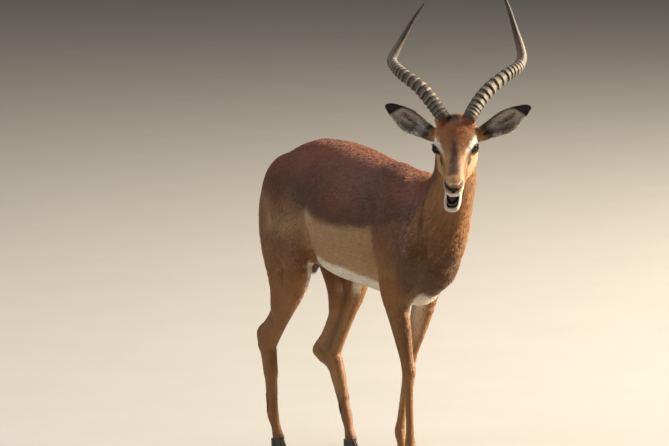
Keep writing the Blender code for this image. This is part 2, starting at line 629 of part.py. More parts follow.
def head(shape, sockets=True, skin=0.0):
    fr = HEAD
    # skull and upper jaw, from the nose back
    shape.add(Tube(rows_f([
        (0, 0.256, 0.001, 0.0235, 0.0175, 0.0225, 2.6, 2.4),
        (0, 0.240, 0.000, 0.0280, 0.0225, 0.0270, 2.6, 2.5),
        (0, 0.214, -0.002, 0.0284, 0.0265, 0.0300, 2.4, 2.5),
        (0, 0.180, -0.001, 0.0302, 0.0290, 0.0370, 2.3, 2.4),
        (0, 0.150, 0.002, 0.0365, 0.0320, 0.0440, 2.3, 2.3),
        (0, 0.125, 0.006, 0.0470, 0.0365, 0.0500, 2.3, 2.2),
        (0, 0.100, 0.008, 0.0560, 0.0430, 0.0550, 2.4, 2.2),
        (0, 0.075, 0.008, 0.0590, 0.0455, 0.0580, 2.4, 2.2),
        (0, 0.045, 0.006, 0.0570, 0.0425, 0.0580, 2.4, 2.1),
        (0, 0.015, 0.000, 0.0490, 0.0345, 0.0530),
        (0, -0.010, -0.008, 0.0400, 0.0270, 0.0450),
    ]), n=44), k=0.03, frame=fr)
    # cheeks, from the mouth corner back over the jaw muscle
    shape.add(Tube(rows_f([
        (0, 0.188, -0.036, 0.0235, 0.018, 0.016),
        (0, 0.160, -0.044, 0.0310, 0.024, 0.024),
        (0, 0.120, -0.052, 0.0460, 0.036, 0.036),
        (0, 0.080, -0.052, 0.0560, 0.042, 0.046),
        (0, 0.045, -0.046, 0.0560, 0.042, 0.048),
        (0, 0.015, -0.038, 0.0500, 0.036, 0.044),
    ]), n=20), k=0.012, frame=fr)
    # lower jaw
    shape.add(Tube(rows_f([jaw_row(r) for r in (
        (0, 0.234, -0.0510, 0.0205, 0.0090, 0.0125, 2.3, 2.2),
        (0, 0.218, -0.0535, 0.0240, 0.0105, 0.0155, 2.4, 2.2),
        (0, 0.185, -0.0570, 0.0240, 0.0120, 0.0175, 2.4, 2.2),
        (0, 0.150, -0.0600, 0.0280, 0.0180, 0.0200, 2.3, 2.2),
        (0, 0.110, -0.0620, 0.0360, 0.0300, 0.0240, 2.3, 2.2),
        (0, 0.070, -0.0560, 0.0400, 0.0360, 0.0270, 2.3, 2.2),
        (0, 0.045, -0.0450, 0.0400, 0.0380, 0.0290, 2.3, 2.2),
    )]), n=34), k=0.008, frame=fr)
    # cheek bone under the eye, brow ridge over it, hollows before the eye and at the temple
    shape.swell(Swell([hv(0.056, 0.070, -0.010), hv(0.052, 0.110, -0.016), hv(0.040, 0.140, -0.014)], 0.011, 0.0030), frame=fr, both=True)
    shape.swell(Swell([hv(0.050, 0.070, 0.032), hv(0.048, 0.095, 0.034), hv(0.040, 0.118, 0.028)], 0.009, 0.0045), frame=fr, both=True)
    shape.swell(Swell([hv(0.040, 0.128, 0.004), hv(0.036, 0.150, 0.000)], 0.010, -0.0035), frame=fr, both=True)
    shape.swell(Swell([hv(0.030, 0.205, -0.012), hv(0.031, 0.175, -0.018)], 0.012, -0.0020), frame=fr, both=True)
    # the crown, full between the horns
    shape.add(Ball((0, -0.050, 0.036), (0.040, 0.040, 0.028)), k=0.022, frame=fr)
    # bony foot of each horn
    for sg in (-1, 1):
        shape.add(Tube([[sg * 0.029, -0.050, 0.030, 0.020, 0.022], [sg * 0.035, -0.040, 0.049, 0.0195, 0.0205], [sg * 0.040, -0.030, 0.060, 0.0185, 0.0195]], n=6, cap=(1, 0.25)), k=0.010, frame=fr)
    # eyelids round each eye, open in an almond
    for sg in (-1, 1):
        c = np.array([sg * EYE[0], -EYE[1], EYE[2]])
        look = unit([sg * EYE_LOOK[0], EYE_LOOK[1], EYE_LOOK[2]])
        shape.add(Ball(c, EYE_R + 0.0032), k=0.008, frame=fr)
        ax = lid_axes(sg, look)                                     # along the lids, out, up
        shape.swell(Swell([c + look * 0.0165 + ax[0] * t + ax[2] * h for t, h in ((-0.014, 0.003), (0, 0.0092), (0.013, 0.004))], 0.0038, 0.0026), frame=fr)
        shape.swell(Swell([c + look * 0.0165 + ax[0] * t + ax[2] * h for t, h in ((-0.013, -0.005), (0, -0.0095), (0.014, -0.005))], 0.0034, 0.0012), frame=fr)
        if sockets:
            shape.cut(Ball(c + look * (EYE_R + 0.004) - ax[2] * 0.0008, (0.0160, 0.014, 0.0078), ax), k=0.0020, frame=fr)
            shape.cut(Ball(c + look * (EYE_R + 0.004) + ax[0] * 0.0145 - ax[2] * 0.002, (0.0065, 0.010, 0.0032), ax), k=0.0015, frame=fr)
            shape.cut(Ball(c, EYE_R + 0.0003), k=0.0004, frame=fr)
    # nostrils: commas that meet below over the lip
    for sg in (-1, 1):
        shape.swell(Swell([hv(sg * 0.0205, 0.230, 0.022), hv(sg * 0.0215, 0.247, 0.0185), hv(sg * 0.012, 0.262, 0.0185)], 0.0055, 0.0016), frame=fr)
        shape.swell(Swell([hv(sg * 0.0280, 0.238, 0.006), hv(sg * 0.0262, 0.252, 0.002), hv(sg * 0.016, 0.266, 0.002)], 0.0055, 0.0014), frame=fr)
        shape.cut(Tube(rows_f([(sg * x, f, z, a, b) for x, f, z, a, b in NOSTRIL]), n=16), k=0.002, frame=fr)
    # groove down the upper lip
    shape.swell(Swell([hv(0, 0.273, 0.005), hv(0, 0.268, -0.023)], 0.0028, -0.0022), frame=fr)
    # upper lip: soft fullness either side
    for sg in (-1, 1):
        shape.swell(Swell([hv(sg * 0.010, 0.264, -0.012), hv(sg * 0.019, 0.250, -0.018), hv(sg * 0.021, 0.222, -0.027)], 0.0075, 0.0022), frame=fr)
    # the mouth: an open wedge behind the lips
    shape.cut(Tube(rows_f([
        (-0.0125, 0.275, -0.0560, 0.0175, 0.0180, 0.0300, 2.4, 2.4),
        (-0.0115, 0.248, -0.0545, 0.0188, 0.0178, 0.0300, 2.4, 2.4),
        (-0.0105, 0.225, -0.0515, 0.0190, 0.0155, 0.0240, 2.4, 2.4),
        (-0.0085, 0.200, -0.0485, 0.0180, 0.0110, 0.0140, 2.4, 2.4),
        (-0.0060, 0.184, -0.0465, 0.0140, 0.0050, 0.0060, 2.4, 2.4),
    ]), n=20), k=0.004, frame=fr)


    # the tray of the lower jaw, inside the lip
    shape.cut(Tube(rows_f([jaw_row(r) for r in (
        (0, 0.222, -0.0420, 0.0150, 0.012, 0.0160, 2.4, 2.8),
        (0, 0.205, -0.0430, 0.0170, 0.012, 0.0165, 2.4, 2.8),
        (0, 0.175, -0.0450, 0.0165, 0.012, 0.0130, 2.4, 2.8),
        (0, 0.150, -0.0470, 0.0120, 0.008, 0.0070, 2.4, 2.6),
    )]), n=14), k=0.004, frame=fr)


# ears, in the head: foot, tip, the way the open side faces, and the bend of the back
EARS = {
    -1: dict(foot=(-0.050, 0.032, 0.004), tip=(-0.1934, -0.0136, 0.0699), face=(-0.20, 0.80, 0.42)),
    1: dict(foot=(0.050, 0.032, 0.004), tip=(0.2058, -0.0068, 0.0597), face=(0.20, 0.80, 0.42)),
}


UP = np.array([0.0, 0.0, 1.0])
# how far the middle of the ear sags towards its lower edge, along its length
EAR_LOW = ([0.0, 0.10, 0.22, 0.36, 0.52, 0.68, 0.82, 0.93, 1.0], [0.009, 0.0130, 0.0125, 0.0125, 0.0112, 0.0060, 0.0016, -0.0012, -0.0012])


def ear_tubes(sg, skin=0.0):
    """Outer body and the hollow of one ear, in the head frame. skin thins the shell."""
    e = EARS[sg]
    a, b = hv(*e["foot"]), hv(*e["tip"])
    d = b - a
    L = np.linalg.norm(d)
    t = d / L
    face = hv(*e["face"])
    face = unit(face - (face @ t) * t)
    side = np.cross(t, face)              # S x T = U, so U = face
    rows, cut = [], []
    low = lambda k: side * sg * float(np.interp(k, *EAR_LOW))
    shapes = (
        (0.00, 0.0180, 0.0160, 0.000), (0.10, 0.0205, 0.0180, -0.002), (0.22, 0.0236, 0.0205, -0.004), (0.36, 0.0290, 0.0210, -0.005),
        (0.52, 0.0333, 0.0185, -0.005), (0.68, 0.0292, 0.0145, -0.003), (0.82, 0.0212, 0.0100, 0.000), (0.93, 0.0137, 0.0062, 0.003), (0.985, 0.0074, 0.0042, 0.005),
    )
    for k, w, back, bow in shapes:
        p = a + d * k + face * bow + low(k)
        rows.append(list(p) + [w - skin, (0.0150 if k < 0.05 else 0.012 if k < 0.15 else 0.0035) - skin, back - skin, 2.0, 2.0])
    th = 0.0034 - 2 * skin
    for k, w, back, bow in ((0.15, 0.0140, 0.0060, -0.001), (0.24, 0.0192, 0.0150, -0.003)) + shapes[3:8]:
        p = a + d * k + face * bow + low(k)
        t2 = th + 0.0030 * max(0.0, k - 0.6) / 0.33
        cut.append(list(p) + [w - skin - t2, 0.050, max(back - skin - t2, 0.0008), 2.0, 2.0])
    return Tube(rows, side=side, n=34, cap=(1.0, 0.8)), Tube(cut, side=side, n=30, cap=(0.8, 0.5))


def ears(shape, skin=0.0):
    for sg in (-1, 1):
        out, hollow = ear_tubes(sg, skin)
        shape.add(out, k=0.008, frame=HEAD)
        shape.cut(hollow, k=0.002, frame=HEAD)


# horns, in the head: x, forward, up, radius
HORNS = {
    -1: [
        (-0.0343, 0.0320, 0.0636, 0.0208), (-0.0672, -0.0174, 0.0800, 0.0203), (-0.0987, -0.0605, 0.0909, 0.0195),
        (-0.1404, -0.1110, 0.0890, 0.0176), (-0.1694, -0.1512, 0.0851, 0.0162), (-0.1844, -0.1799, 0.0910, 0.0143),
        (-0.1721, -0.2066, 0.1084, 0.0118), (-0.1484, -0.2345, 0.1377, 0.0084), (-0.1200, -0.2570, 0.1790, 0.0055), (-0.0883, -0.2706, 0.2230, 0.0017),
    ],
    1: [
        (0.0400, 0.0329, 0.0624, 0.0207), (0.0640, -0.0184, 0.0738, 0.0202), (0.0969, -0.0718, 0.0795, 0.0195),
        (0.1392, -0.1301, 0.0745, 0.0176), (0.1691, -0.1704, 0.0675, 0.0162), (0.1790, -0.2014, 0.0738, 0.0145),
        (0.1729, -0.2311, 0.0964, 0.0120), (0.1597, -0.2619, 0.1324, 0.0088), (0.1474, -0.2859, 0.1741, 0.0064), (0.1354, -0.3004, 0.2100, 0.0043), (0.1270, -0.3147, 0.2483, 0.0017),
    ],
}


def whole(with_ears=True, with_tail=True, sockets=True):
    s = Shape()
    body(s, with_tail)
    head(s, sockets)
    if with_ears:
        ears(s)
    return s


# ---- solids ---------------------------------------------------------------------------------
GAP = 0.0003
MIDDLE = np.array([-0.034, -0.0436, 0.0])
for ob in list(bpy.data.objects):
    bpy.data.objects.remove(ob, do_unlink=True)


def new_object(name, co, faces):
    me = bpy.data.meshes.new(name)
    me.from_pydata([tuple(map(float, v)) for v in co], [], [tuple(map(int, f)) for f in faces])
    me.validate()
    me.update()
    ob = bpy.data.objects.new(name, me)
    bpy.context.scene.collection.objects.link(ob)
    return ob


def settle(ob):
    """The object's mesh with its modifiers worked in."""
    deps = bpy.context.evaluated_depsgraph_get()
    me = bpy.data.meshes.new_from_object(ob.evaluated_get(deps))
    old = ob.data
    ob.modifiers.clear()
    ob.data = me
    bpy.data.meshes.remove(old)
    return ob


def copy_of(ob, name):
    c = ob.copy()
    c.data = ob.data.copy()
    c.name = name
    bpy.context.scene.collection.objects.link(c)
    return c


def drop(ob):
    me = ob.data
    bpy.data.objects.remove(ob, do_unlink=True)
    bpy.data.meshes.remove(me)


def boolean(ob, cutter, how, keep=False):
    m = ob.modifiers.new("b", "BOOLEAN")
    m.operation, m.object, m.solver = how, cutter, "MANIFOLD"
    settle(ob)
    if not keep:
        drop(cutter)
    return ob


def triangles(ob):
    bm = bmesh.new()
    bm.from_mesh(ob.data)
    bmesh.ops.triangulate(bm, faces=bm.faces)
    bm.to_mesh(ob.data)
    bm.free()
    return ob


def thinned(ob, count, weights=None):
    triangles(ob)
    n = len(ob.data.polygons)
    if n <= count:
        return ob
    m = ob.modifiers.new("d", "DECIMATE")
    m.ratio = count / n
    if weights is not None:
        g = ob.vertex_groups.new(name="keep")
        for w in np.unique(np.round(weights, 2)):
            g.add([int(i) for i in np.nonzero(np.round(weights, 2) == w)[0]], float(w), "REPLACE")
        m.vertex_group = "keep"
        m.vertex_group_factor = 1.0
        m.invert_vertex_group = True
    return settle(ob)


def slack(ob, d=GAP):
    """The object grown by d along its normals."""
    c = copy_of(ob, ob.name + "_grown")
    n = np.empty(len(c.data.vertices) * 3)
    c.data.vertices.foreach_get("normal", n)
    co = np.empty_like(n)
    c.data.vertices.foreach_get("co", co)
    c.data.vertices.foreach_set("co", co + n * d)
    c.data.update()
    return c


def slab(p, n, grow=0.0, size=3.0, limits=()):
    """A big block on the side of the plane at p that n points to, cut by more planes (p, n)."""
    bm = bmesh.new()
    bmesh.ops.create_cube(bm, size=size)
    for q, m in ((p, n),) + tuple(limits):
        m = unit(m)
        q = np.asarray(q, float) - m * grow
        geom = bm.verts[:] + bm.edges[:] + bm.faces[:]
        r = bmesh.ops.bisect_plane(bm, geom=geom, plane_co=q, plane_no=-m, clear_outer=True)
        edges = [e for e in r["geom_cut"] if isinstance(e, bmesh.types.BMEdge)]
        bmesh.ops.contextual_create(bm, geom=edges)
    bmesh.ops.recalc_face_normals(bm, faces=bm.faces)
    me = bpy.data.meshes.new("slab")
    bm.to_mesh(me)
    bm.free()
    ob = bpy.data.objects.new("slab", me)
    bpy.context.scene.collection.objects.link(ob)
    return ob


def part_off(rest, name, p, n, limits=()):
    """The piece of rest on the n side of the planes, and rest without it, a thin gap between."""
    piece = boolean(copy_of(rest, name), slab(p, n, limits=limits), "INTERSECT")
    boolean(rest, slab(p, n, grow=GAP, limits=limits), "DIFFERENCE")
    return piece


def largest(ob):
    """Only the biggest connected shell of the object."""
    bm = bmesh.new()
    bm.from_mesh(ob.data)
    seen, shells = set(), []
    for v in bm.verts:
        if v.index in seen:
            continue
        stack, got = [v], []
        seen.add(v.index)
        while stack:
            a = stack.pop()
            got.append(a)
            for e in a.link_edges:
                b = e.other_vert(a)
                if b.index not in seen:
                    seen.add(b.index)
                    stack.append(b)
        shells.append(got)
    shells.sort(key=len)
    for s in shells[:-1]:
        bmesh.ops.delete(bm, geom=s, context="VERTS")
    bm.to_mesh(ob.data)
    bm.free()
    return ob


def sphere(c, r, name="ball", seg=13, rings=8, axes=None, scale=(1, 1, 1)):
    bm = bmesh.new()
    bmesh.ops.create_uvsphere(bm, u_segments=seg, v_segments=rings, radius=1.0)
    A = np.eye(3) if axes is None else axes
    for v in bm.verts:
        q = np.array(v.co) * np.array(scale) * r
        v.co = q @ A + c
    bm.normal_update()
    bmesh.ops.recalc_face_normals(bm, faces=bm.faces)
    me = bpy.data.meshes.new(name)
    bm.to_mesh(me)
    bm.free()
    ob = bpy.data.objects.new(name, me)
    bpy.context.scene.collection.objects.link(ob)
    return triangles(ob)


def loft(name, loops, close_tip=True):
    """Loops of equal count joined in order, the ends filled."""
    n = len(loops[0])
    co = [p for l in loops for p in l]
    faces = []
    for i in range(len(loops) - 1):
        for j in range(n):
            k = (j + 1) % n
            faces.append((i * n + j, i * n + k, (i + 1) * n + k, (i + 1) * n + j))
    c0 = np.mean(loops[0], 0)
    c1 = np.mean(loops[-1], 0)
    co += [c0, c1]
    a, b = len(co) - 2, len(co) - 1
    m = (len(loops) - 1) * n
    for j in range(n):
        k = (j + 1) % n
        faces.append((a, k, j))
        faces.append((b, m + j, m + k))
    ob = new_object(name, co, faces)
    bm = bmesh.new()
    bm.from_mesh(ob.data)
    bmesh.ops.recalc_face_normals(bm, faces=bm.faces)
    bm.to_mesh(ob.data)
    bm.free()
    return triangles(ob)


def horn_line(sg, n):
    """Points, radii and two cross directions along a horn, in world axes, with the length run."""
    rows = spline([[x, -f, z, r] for x, f, z, r in HORNS[sg]], n)
    p = rows[:, :3] @ HEAD[1] + HEAD[0]
    t = np.gradient(p, axis=0)
    t /= np.linalg.norm(t, axis=1)[:, None]
    a = HEAD[1][0] - (t @ HEAD[1][0])[:, None] * t
    a /= np.linalg.norm(a, axis=1)[:, None]
    b = np.cross(t, a)
    d = np.r_[0, np.cumsum(np.linalg.norm(np.diff(p, axis=0), axis=1))]
    return p, rows[:, 3], t, a, b, d


def horn(name, sg, rings=12, seg=8):
    p, r, t, a, b, d = horn_line(sg, 200)
    L = d[-1]
    at, ring = [-0.010], [0]
    for i in range(rings):
        u = 0.012 + (0.66 * L - 0.012) * i / rings
        w = (0.66 * L - 0.012) / rings
        at += [u, u + 0.55 * w]
        ring += [0, 1]
    at += list(np.linspace(0.67 * L, L, 5))
    ring += [0] * 5
    loops = []
    for s, k in zip(at, ring):
        c = np.array([np.interp(max(s, 0), d, p[:, j]) for j in range(3)])
        tt = np.array([np.interp(max(s, 0), d, t[:, j]) for j in range(3)])
        A = np.array([np.interp(max(s, 0), d, a[:, j]) for j in range(3)])
        B = np.array([np.interp(max(s, 0), d, b[:, j]) for j in range(3)])
        c = c + tt * min(s, 0)
        q = np.interp(max(s, 0), d, r)
        q = q * (1.03 if k else 0.94) if s < 0.66 * L else q
        loops.append([c + A * q * math.cos(w) + B * q * math.sin(w) for w in np.linspace(0, 2 * math.pi, seg, endpoint=False)])
    return loft(name, loops)


# claws: outline of one claw on the ground, inner side at x = 0, toe to the front
CLAW = [
    # across, forward
    (0.0010, -0.022), (0.0100, -0.0225), (0.0170, -0.015), (0.0182, 0.000), (0.0155, 0.016), (0.0095, 0.031), (0.0036, 0.0375), (0.0010, 0.034),
]
HOOF_TOP = 0.036


def claw(name, at, outer, back=0.0):
    """One claw under a pastern that ends at x, y. outer is -1 or 1."""
    loops = []
    for z, sx, sf, lean in ((0.0, 0.94, 0.97, 0.0), (0.005, 1.0, 1.0, 0.0), (0.020, 0.98, 0.86, -0.004), (HOOF_TOP - GAP, 0.93, 0.70, -0.0085)):
        loops.append([(at[0] + outer * x * sx, at[1] - (f * sf + lean) , z) for x, f in CLAW])
    if outer < 0:
        loops = [l[::-1] for l in loops]
    return loft(name, loops)


# the flesh, in one piece: fine at the head, coarser behind
flesh = whole(with_ears=False, with_tail=False, sockets=False)
mid = head_point(0, 0.12, -0.01)
xs = axis_lines(-0.30, 0.24, (mid[0] - 0.12, mid[0] + 0.12), 0.0080, 0.0036)
ys = axis_lines(-0.74, 0.56, (mid[1] - 0.15, mid[1] + 0.13), 0.0080, 0.0036)
zs = axis_lines(0.022, 1.13, (mid[2] - 0.14, mid[2] + 0.12), 0.0080, 0.0036)
co, quads = surface(field(flesh, xs, ys, zs), xs, ys, zs, openvdb)
rest = triangles(largest(new_object("trunk", co, quads)))

# parting
poll, throat = head_point(0, -0.004, 0.04), head_point(0, 0.030, -0.100)
across = HEAD[1][0]
n_head = unit(np.cross(across, throat - poll))
if n_head @ (head_point(0, 0.2, 0) - poll) < 0:
    n_head = -n_head
under_jaw = (head_point(0, 0.030, -0.116), unit(np.array([0, -0.255, 0.967]) @ HEAD[1]))
HEAD_CUT = (poll, n_head, (under_jaw,))
NECK_CUT = ((0, -0.268, 0.86), (0, -0.797, 0.604), ())
head_ob = part_off(rest, "head", *HEAD_CUT)
neck_ob = part_off(rest, "neck", *NECK_CUT)
LEG_CUTS = {
    "foreleg": lambda sg: ((sg * 0.022, 0, 0.492), (sg * 0.74, 0, -0.67), (((0, -0.035, 0.5), (0, -0.85, -0.52)), ((sg * 0.004, 0, 0), (sg, 0, 0)))),
    "hindleg": lambda sg: ((sg * 0.016, 0, 0.578), (sg * 0.50, 0, -0.866), (((0, 0.165, 0.50), (0, 0.90, -0.30)), ((sg * 0.004, 0, 0), (sg, 0, 0)))),
}
limbs = {}
for leg, cut in LEG_CUTS.items():
    for sg, side in ((-1, "right"), (1, "left")):
        p, n, lim = cut(sg)
        limbs[leg, side] = largest(part_off(rest, leg + "_" + side, p, n, lim))
largest(rest)
largest(neck_ob)
largest(head_ob)
thinned(rest, 1500)
thinned(neck_ob, 360)
thinned(head_ob, 1600)
for (leg, side), ob in limbs.items():
    thinned(ob, 440 if leg == "foreleg" else 520)


def trimmed(piece, others, p, n, limits):
    """Piece and others made true to the cutting planes again after thinning."""
    boolean(piece, slab(p, n, limits=limits), "INTERSECT")
    for o in others:
        boolean(o, slab(p, n, grow=GAP, limits=limits), "DIFFERENCE")
    largest(piece)


trimmed(neck_ob, [rest], *NECK_CUT)
trimmed(head_ob, [neck_ob], *HEAD_CUT)
for (leg, side), ob in limbs.items():
    trimmed(ob, [rest], *LEG_CUTS[leg](-1 if side == "right" else 1))
largest(rest)
largest(neck_ob)

# feet: each leg ends flat over its two claws
for (leg, side), ob in limbs.items():
    boolean(ob, slab((0, 0, HOOF_TOP), (0, 0, 1)), "INTERSECT")
    sg = -1 if side == "right" else 1
    P = np.array((FORE if leg == "foreleg" else HIND)[sg][-1])
    at = P[:2] + [0, -0.008]
    for where, o in (("outer", sg), ("inner", -sg)):
        claw("hoof_%s_%s_%s" % ("fore" if leg == "foreleg" else "hind", side, where), at, o)

# horns, eyes and ears
for sg, side in ((-1, "right"), (1, "left")):
    h = horn("horn_" + side, sg)
    boolean(head_ob, slack(h), "DIFFERENCE")
    c = np.array([sg * EYE[0], -EYE[1], EYE[2]])
    look = unit([sg * EYE_LOOK[0], EYE_LOOK[1], EYE_LOOK[2]])
    ax = lid_axes(sg, look)
    cw = c @ HEAD[1] + HEAD[0]
    axw = ax @ HEAD[1]
    order = np.array([axw[0], np.cross(axw[1], axw[0]), axw[1]])
    boolean(head_ob, sphere(cw + (look @ HEAD[1]) * (EYE_R + 0.004), 1.0, seg=12, rings=7, axes=axw, scale=(0.0160, 0.014, 0.0080)), "DIFFERENCE")
    boolean(head_ob, sphere(cw, EYE_R + GAP, axes=order), "DIFFERENCE")
    sphere(cw, EYE_R, "eye_" + side, axes=order)
largest(head_ob)
for sg, side in ((-1, "right"), (1, "left")):
    e = Shape()
    out, hollow = ear_tubes(sg)
    e.add(out, k=0.0001, frame=HEAD)
    e.cut(hollow, k=0.002, frame=HEAD)
    b = e.boxes(0.004)[0]
    ax3 = [np.arange(b[0][i], b[1][i], 0.0017) for i in range(3)]
    eco, eq = surface(field(e, *ax3, block=6), *ax3, openvdb)
    ear = largest(new_object("ear_" + side, eco, eq))
    thinned(ear, 430)
    boolean(ear, slack(head_ob), "DIFFERENCE")
    largest(ear)

# tail
t = Shape()
tail(t)
ax3 = [np.arange(-0.05, 0.05, 0.004), np.arange(0.38, 0.57, 0.004), np.arange(0.50, 0.90, 0.004)]
tco, tq = surface(field(t, *ax3), *ax3, openvdb)
tail_ob = thinned(new_object("tail", tco, tq), 170)
boolean(tail_ob, slack(rest), "DIFFERENCE")
largest(tail_ob)

# tongue and lower front teeth, in the tray of the jaw


def jaw_point(x, f, z):
    return head_point(*jaw_row([x, f, z]))


jaw_axes = np.array([unit(jaw_point(1, 0.1, 0) - jaw_point(0, 0.1, 0)), unit(jaw_point(0, 0.0, 0) - jaw_point(0, 1.0, 0)), unit(jaw_point(0, 0.1, 1) - jaw_point(0, 0.1, 0))])
tongue = sphere(jaw_point(0, 0.186, -0.0550), 1.0, "tongue", seg=10, rings=7, axes=jaw_axes, scale=(0.0125, 0.028, 0.0060))
boolean(tongue, slack(head_ob), "DIFFERENCE")
loops = []
for i in range(7):
    w = math.radians(-62 + 124 * i / 6)
    loops.append([jaw_point((0.0125 + o) * math.sin(w), 0.2130 + (0.0125 + o) * math.cos(w), z) for o, z in ((0.0, -0.0610), (0.0, -0.0505), (0.0030, -0.0500), (0.0032, -0.0610))])
teeth = loft("teeth_lower", loops)
boolean(teeth, slack(head_ob), "DIFFERENCE")
boolean(teeth, slack(tongue), "DIFFERENCE")
largest(largest(teeth))
largest(tongue)

# the middle of the whole on the ground becomes the origin
for ob in bpy.data.objects:
    co = np.empty(len(ob.data.vertices) * 3)
    ob.data.vertices.foreach_get("co", co)
    co = co.reshape(-1, 3) - MIDDLE
    ob.data.vertices.foreach_set("co", co.ravel())
    ob.data.update()
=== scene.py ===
"""The looks of a standing impala ram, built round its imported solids.

One skin over all the flesh, short coat in small blades over it, and separate horns, eyes,
hooves, tongue and teeth. Shapes are worked out in the animal's own frame and then moved by
MIDDLE into the row frame.
"""
import copy
import json
import math
import time

import bmesh
import bpy
import numpy as np
import openvdb
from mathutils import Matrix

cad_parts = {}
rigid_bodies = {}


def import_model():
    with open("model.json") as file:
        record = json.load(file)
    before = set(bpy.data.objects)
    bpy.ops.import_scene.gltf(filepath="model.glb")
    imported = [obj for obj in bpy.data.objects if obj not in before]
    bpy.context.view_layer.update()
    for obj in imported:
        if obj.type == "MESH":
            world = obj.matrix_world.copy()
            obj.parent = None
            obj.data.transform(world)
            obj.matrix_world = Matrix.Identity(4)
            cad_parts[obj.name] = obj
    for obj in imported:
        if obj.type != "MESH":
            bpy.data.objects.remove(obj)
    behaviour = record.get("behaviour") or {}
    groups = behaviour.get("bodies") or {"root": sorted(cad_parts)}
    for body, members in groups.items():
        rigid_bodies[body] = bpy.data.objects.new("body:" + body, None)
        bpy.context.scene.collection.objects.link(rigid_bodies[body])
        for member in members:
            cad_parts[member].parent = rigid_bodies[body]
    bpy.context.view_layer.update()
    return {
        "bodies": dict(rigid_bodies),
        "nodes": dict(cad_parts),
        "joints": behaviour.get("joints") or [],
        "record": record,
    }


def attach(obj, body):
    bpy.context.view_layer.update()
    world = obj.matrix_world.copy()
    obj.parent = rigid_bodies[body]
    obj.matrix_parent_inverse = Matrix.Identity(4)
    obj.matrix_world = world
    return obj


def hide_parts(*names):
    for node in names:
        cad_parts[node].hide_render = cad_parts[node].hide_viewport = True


MIDDLE = np.array([-0.034, -0.0436, 0.0])

import math
import numpy as np

F4 = np.float32


def unit(v):
    v = np.asarray(v, float)
    return v / max(np.linalg.norm(v), 1e-12)


def spline(rows, n):
    """Cubic curve through rows (places and sizes alike), by chord length of the first three columns."""
    r = np.asarray(rows, float)
    d = np.r_[0, np.cumsum(np.linalg.norm(np.diff(r[:, :3], axis=0), axis=1))]
    m = np.empty_like(r)
    m[1:-1] = (r[2:] - r[:-2]) / (d[2:] - d[:-2])[:, None]
    m[0] = (r[1] - r[0]) / (d[1] - d[0])
    m[-1] = (r[-1] - r[-2]) / (d[-1] - d[-2])
    t = np.linspace(0, d[-1], n)
    i = np.clip(np.searchsorted(d, t, side="right") - 1, 0, len(d) - 2)
    h = (d[i + 1] - d[i])[:, None]
    u = ((t - d[i]) / (d[i + 1] - d[i]))[:, None]
    return (
        r[i] * (2 * u**3 - 3 * u**2 + 1)
        + m[i] * h * (u**3 - 2 * u**2 + u)
        + r[i + 1] * (3 * u**2 - 2 * u**3)
        + m[i + 1] * h * (u**3 - u**2)
    )


class Tube:
    """A body of changing oval section along a curve. Each row is x, y, z, half width, half height
    above and below the line, and the two exponents of the section. side is its width direction."""

    def __init__(self, rows, side=(1, 0, 0), n=20, cap=(1.0, 1.0)):
        full = []
        for r in rows:
            r = list(r)
            if len(r) == 4:
                r += [r[3], r[3]]
            if len(r) == 5:
                r += [r[4]]
            if len(r) == 6:
                r += [2.0, 2.0]
            full.append(r)
        s = spline(full, n)
        self.c = s[:, :3]
        self.r = np.maximum(s[:, 3:6], 5e-4)
        self.e = np.clip(s[:, 6:8], 1.2, 8)
        t = np.gradient(self.c, axis=0)
        self.t = t / np.linalg.norm(t, axis=1)[:, None]
        side = np.asarray(side, float)
        if side.ndim == 1:
            side = np.tile(side, (n, 1))
        else:
            k = np.linspace(0, len(side) - 1, n)
            side = np.stack([np.interp(k, np.arange(len(side)), side[:, j]) for j in range(3)], 1)
        a = side - (side * self.t).sum(1)[:, None] * self.t
        self.s = a / np.linalg.norm(a, axis=1)[:, None]
        self.u = np.cross(self.s, self.t)
        self.cap = cap

    def bounds(self):
        m = self.r.max(1)[:, None]
        return (self.c - m).min(0), (self.c + m).max(0)

    def near(self, p):
        """Per point: place along the tube, 0 to n-1, and its offset in the local axes."""
        n = len(p)
        best = np.full(n, 1e9, F4)
        at = np.zeros(n, F4)
        c = self.c.astype(F4)
        for i in range(len(c) - 1):
            a, ab = c[i], c[i + 1] - c[i]
            l2 = float(ab @ ab)
            if l2 < 1e-14:
                continue
            q = p - a
            w = np.clip((q @ ab) / l2, 0, 1)
            q -= w[:, None] * ab
            d = np.einsum("ij,ij->i", q, q)
            m = d < best
            best = np.where(m, d, best)
            at = np.where(m, i + w, at)
        i = np.minimum(at.astype(np.int32), len(c) - 2)
        w = (at - i)[:, None]

        def mix(x):
            x = x.astype(F4)
            return x[i] * (1 - w) + x[i + 1] * w

        q = p - mix(self.c)
        return at, (q * mix(self.s)).sum(1), (q * mix(self.u)).sum(1), (q * mix(self.t)).sum(1), mix(self.r), mix(self.e)

    def dist(self, p):
        at, s, u, t, r, e = self.near(p)
        up = u > 0
        a = r[:, 0]
        b = np.where(up, r[:, 1], r[:, 2])
        n = np.where(up, e[:, 0], e[:, 1])
        c = np.where(at < 0.5, self.cap[0], self.cap[1]) * np.minimum(a, b)
        return oval(np.stack([s / a, u / b, t / c], 1), np.stack([a, b, c], 1), n)


def oval(q, r, n):
    """First order distance to |q| = 1 in the n-norm, where q is a place over r."""
    q = np.abs(q) + 1e-6
    n = np.asarray(n, F4)
    if n.ndim == 0 and float(n) == 2.0 or (n.ndim and np.all(n == 2.0)):
        g = np.sqrt((q * q).sum(1))
        grad = np.sqrt(((q / r) ** 2).sum(1)) / g
    else:
        nn = np.broadcast_to(n, (len(q),))[:, None]
        g = ((q**nn).sum(1)) ** (1 / nn[:, 0])
        grad = np.sqrt((((q ** (nn - 1)) / r) ** 2).sum(1)) * g ** (1 - nn[:, 0])
    return (g - 1) / np.maximum(grad, 1e-3)


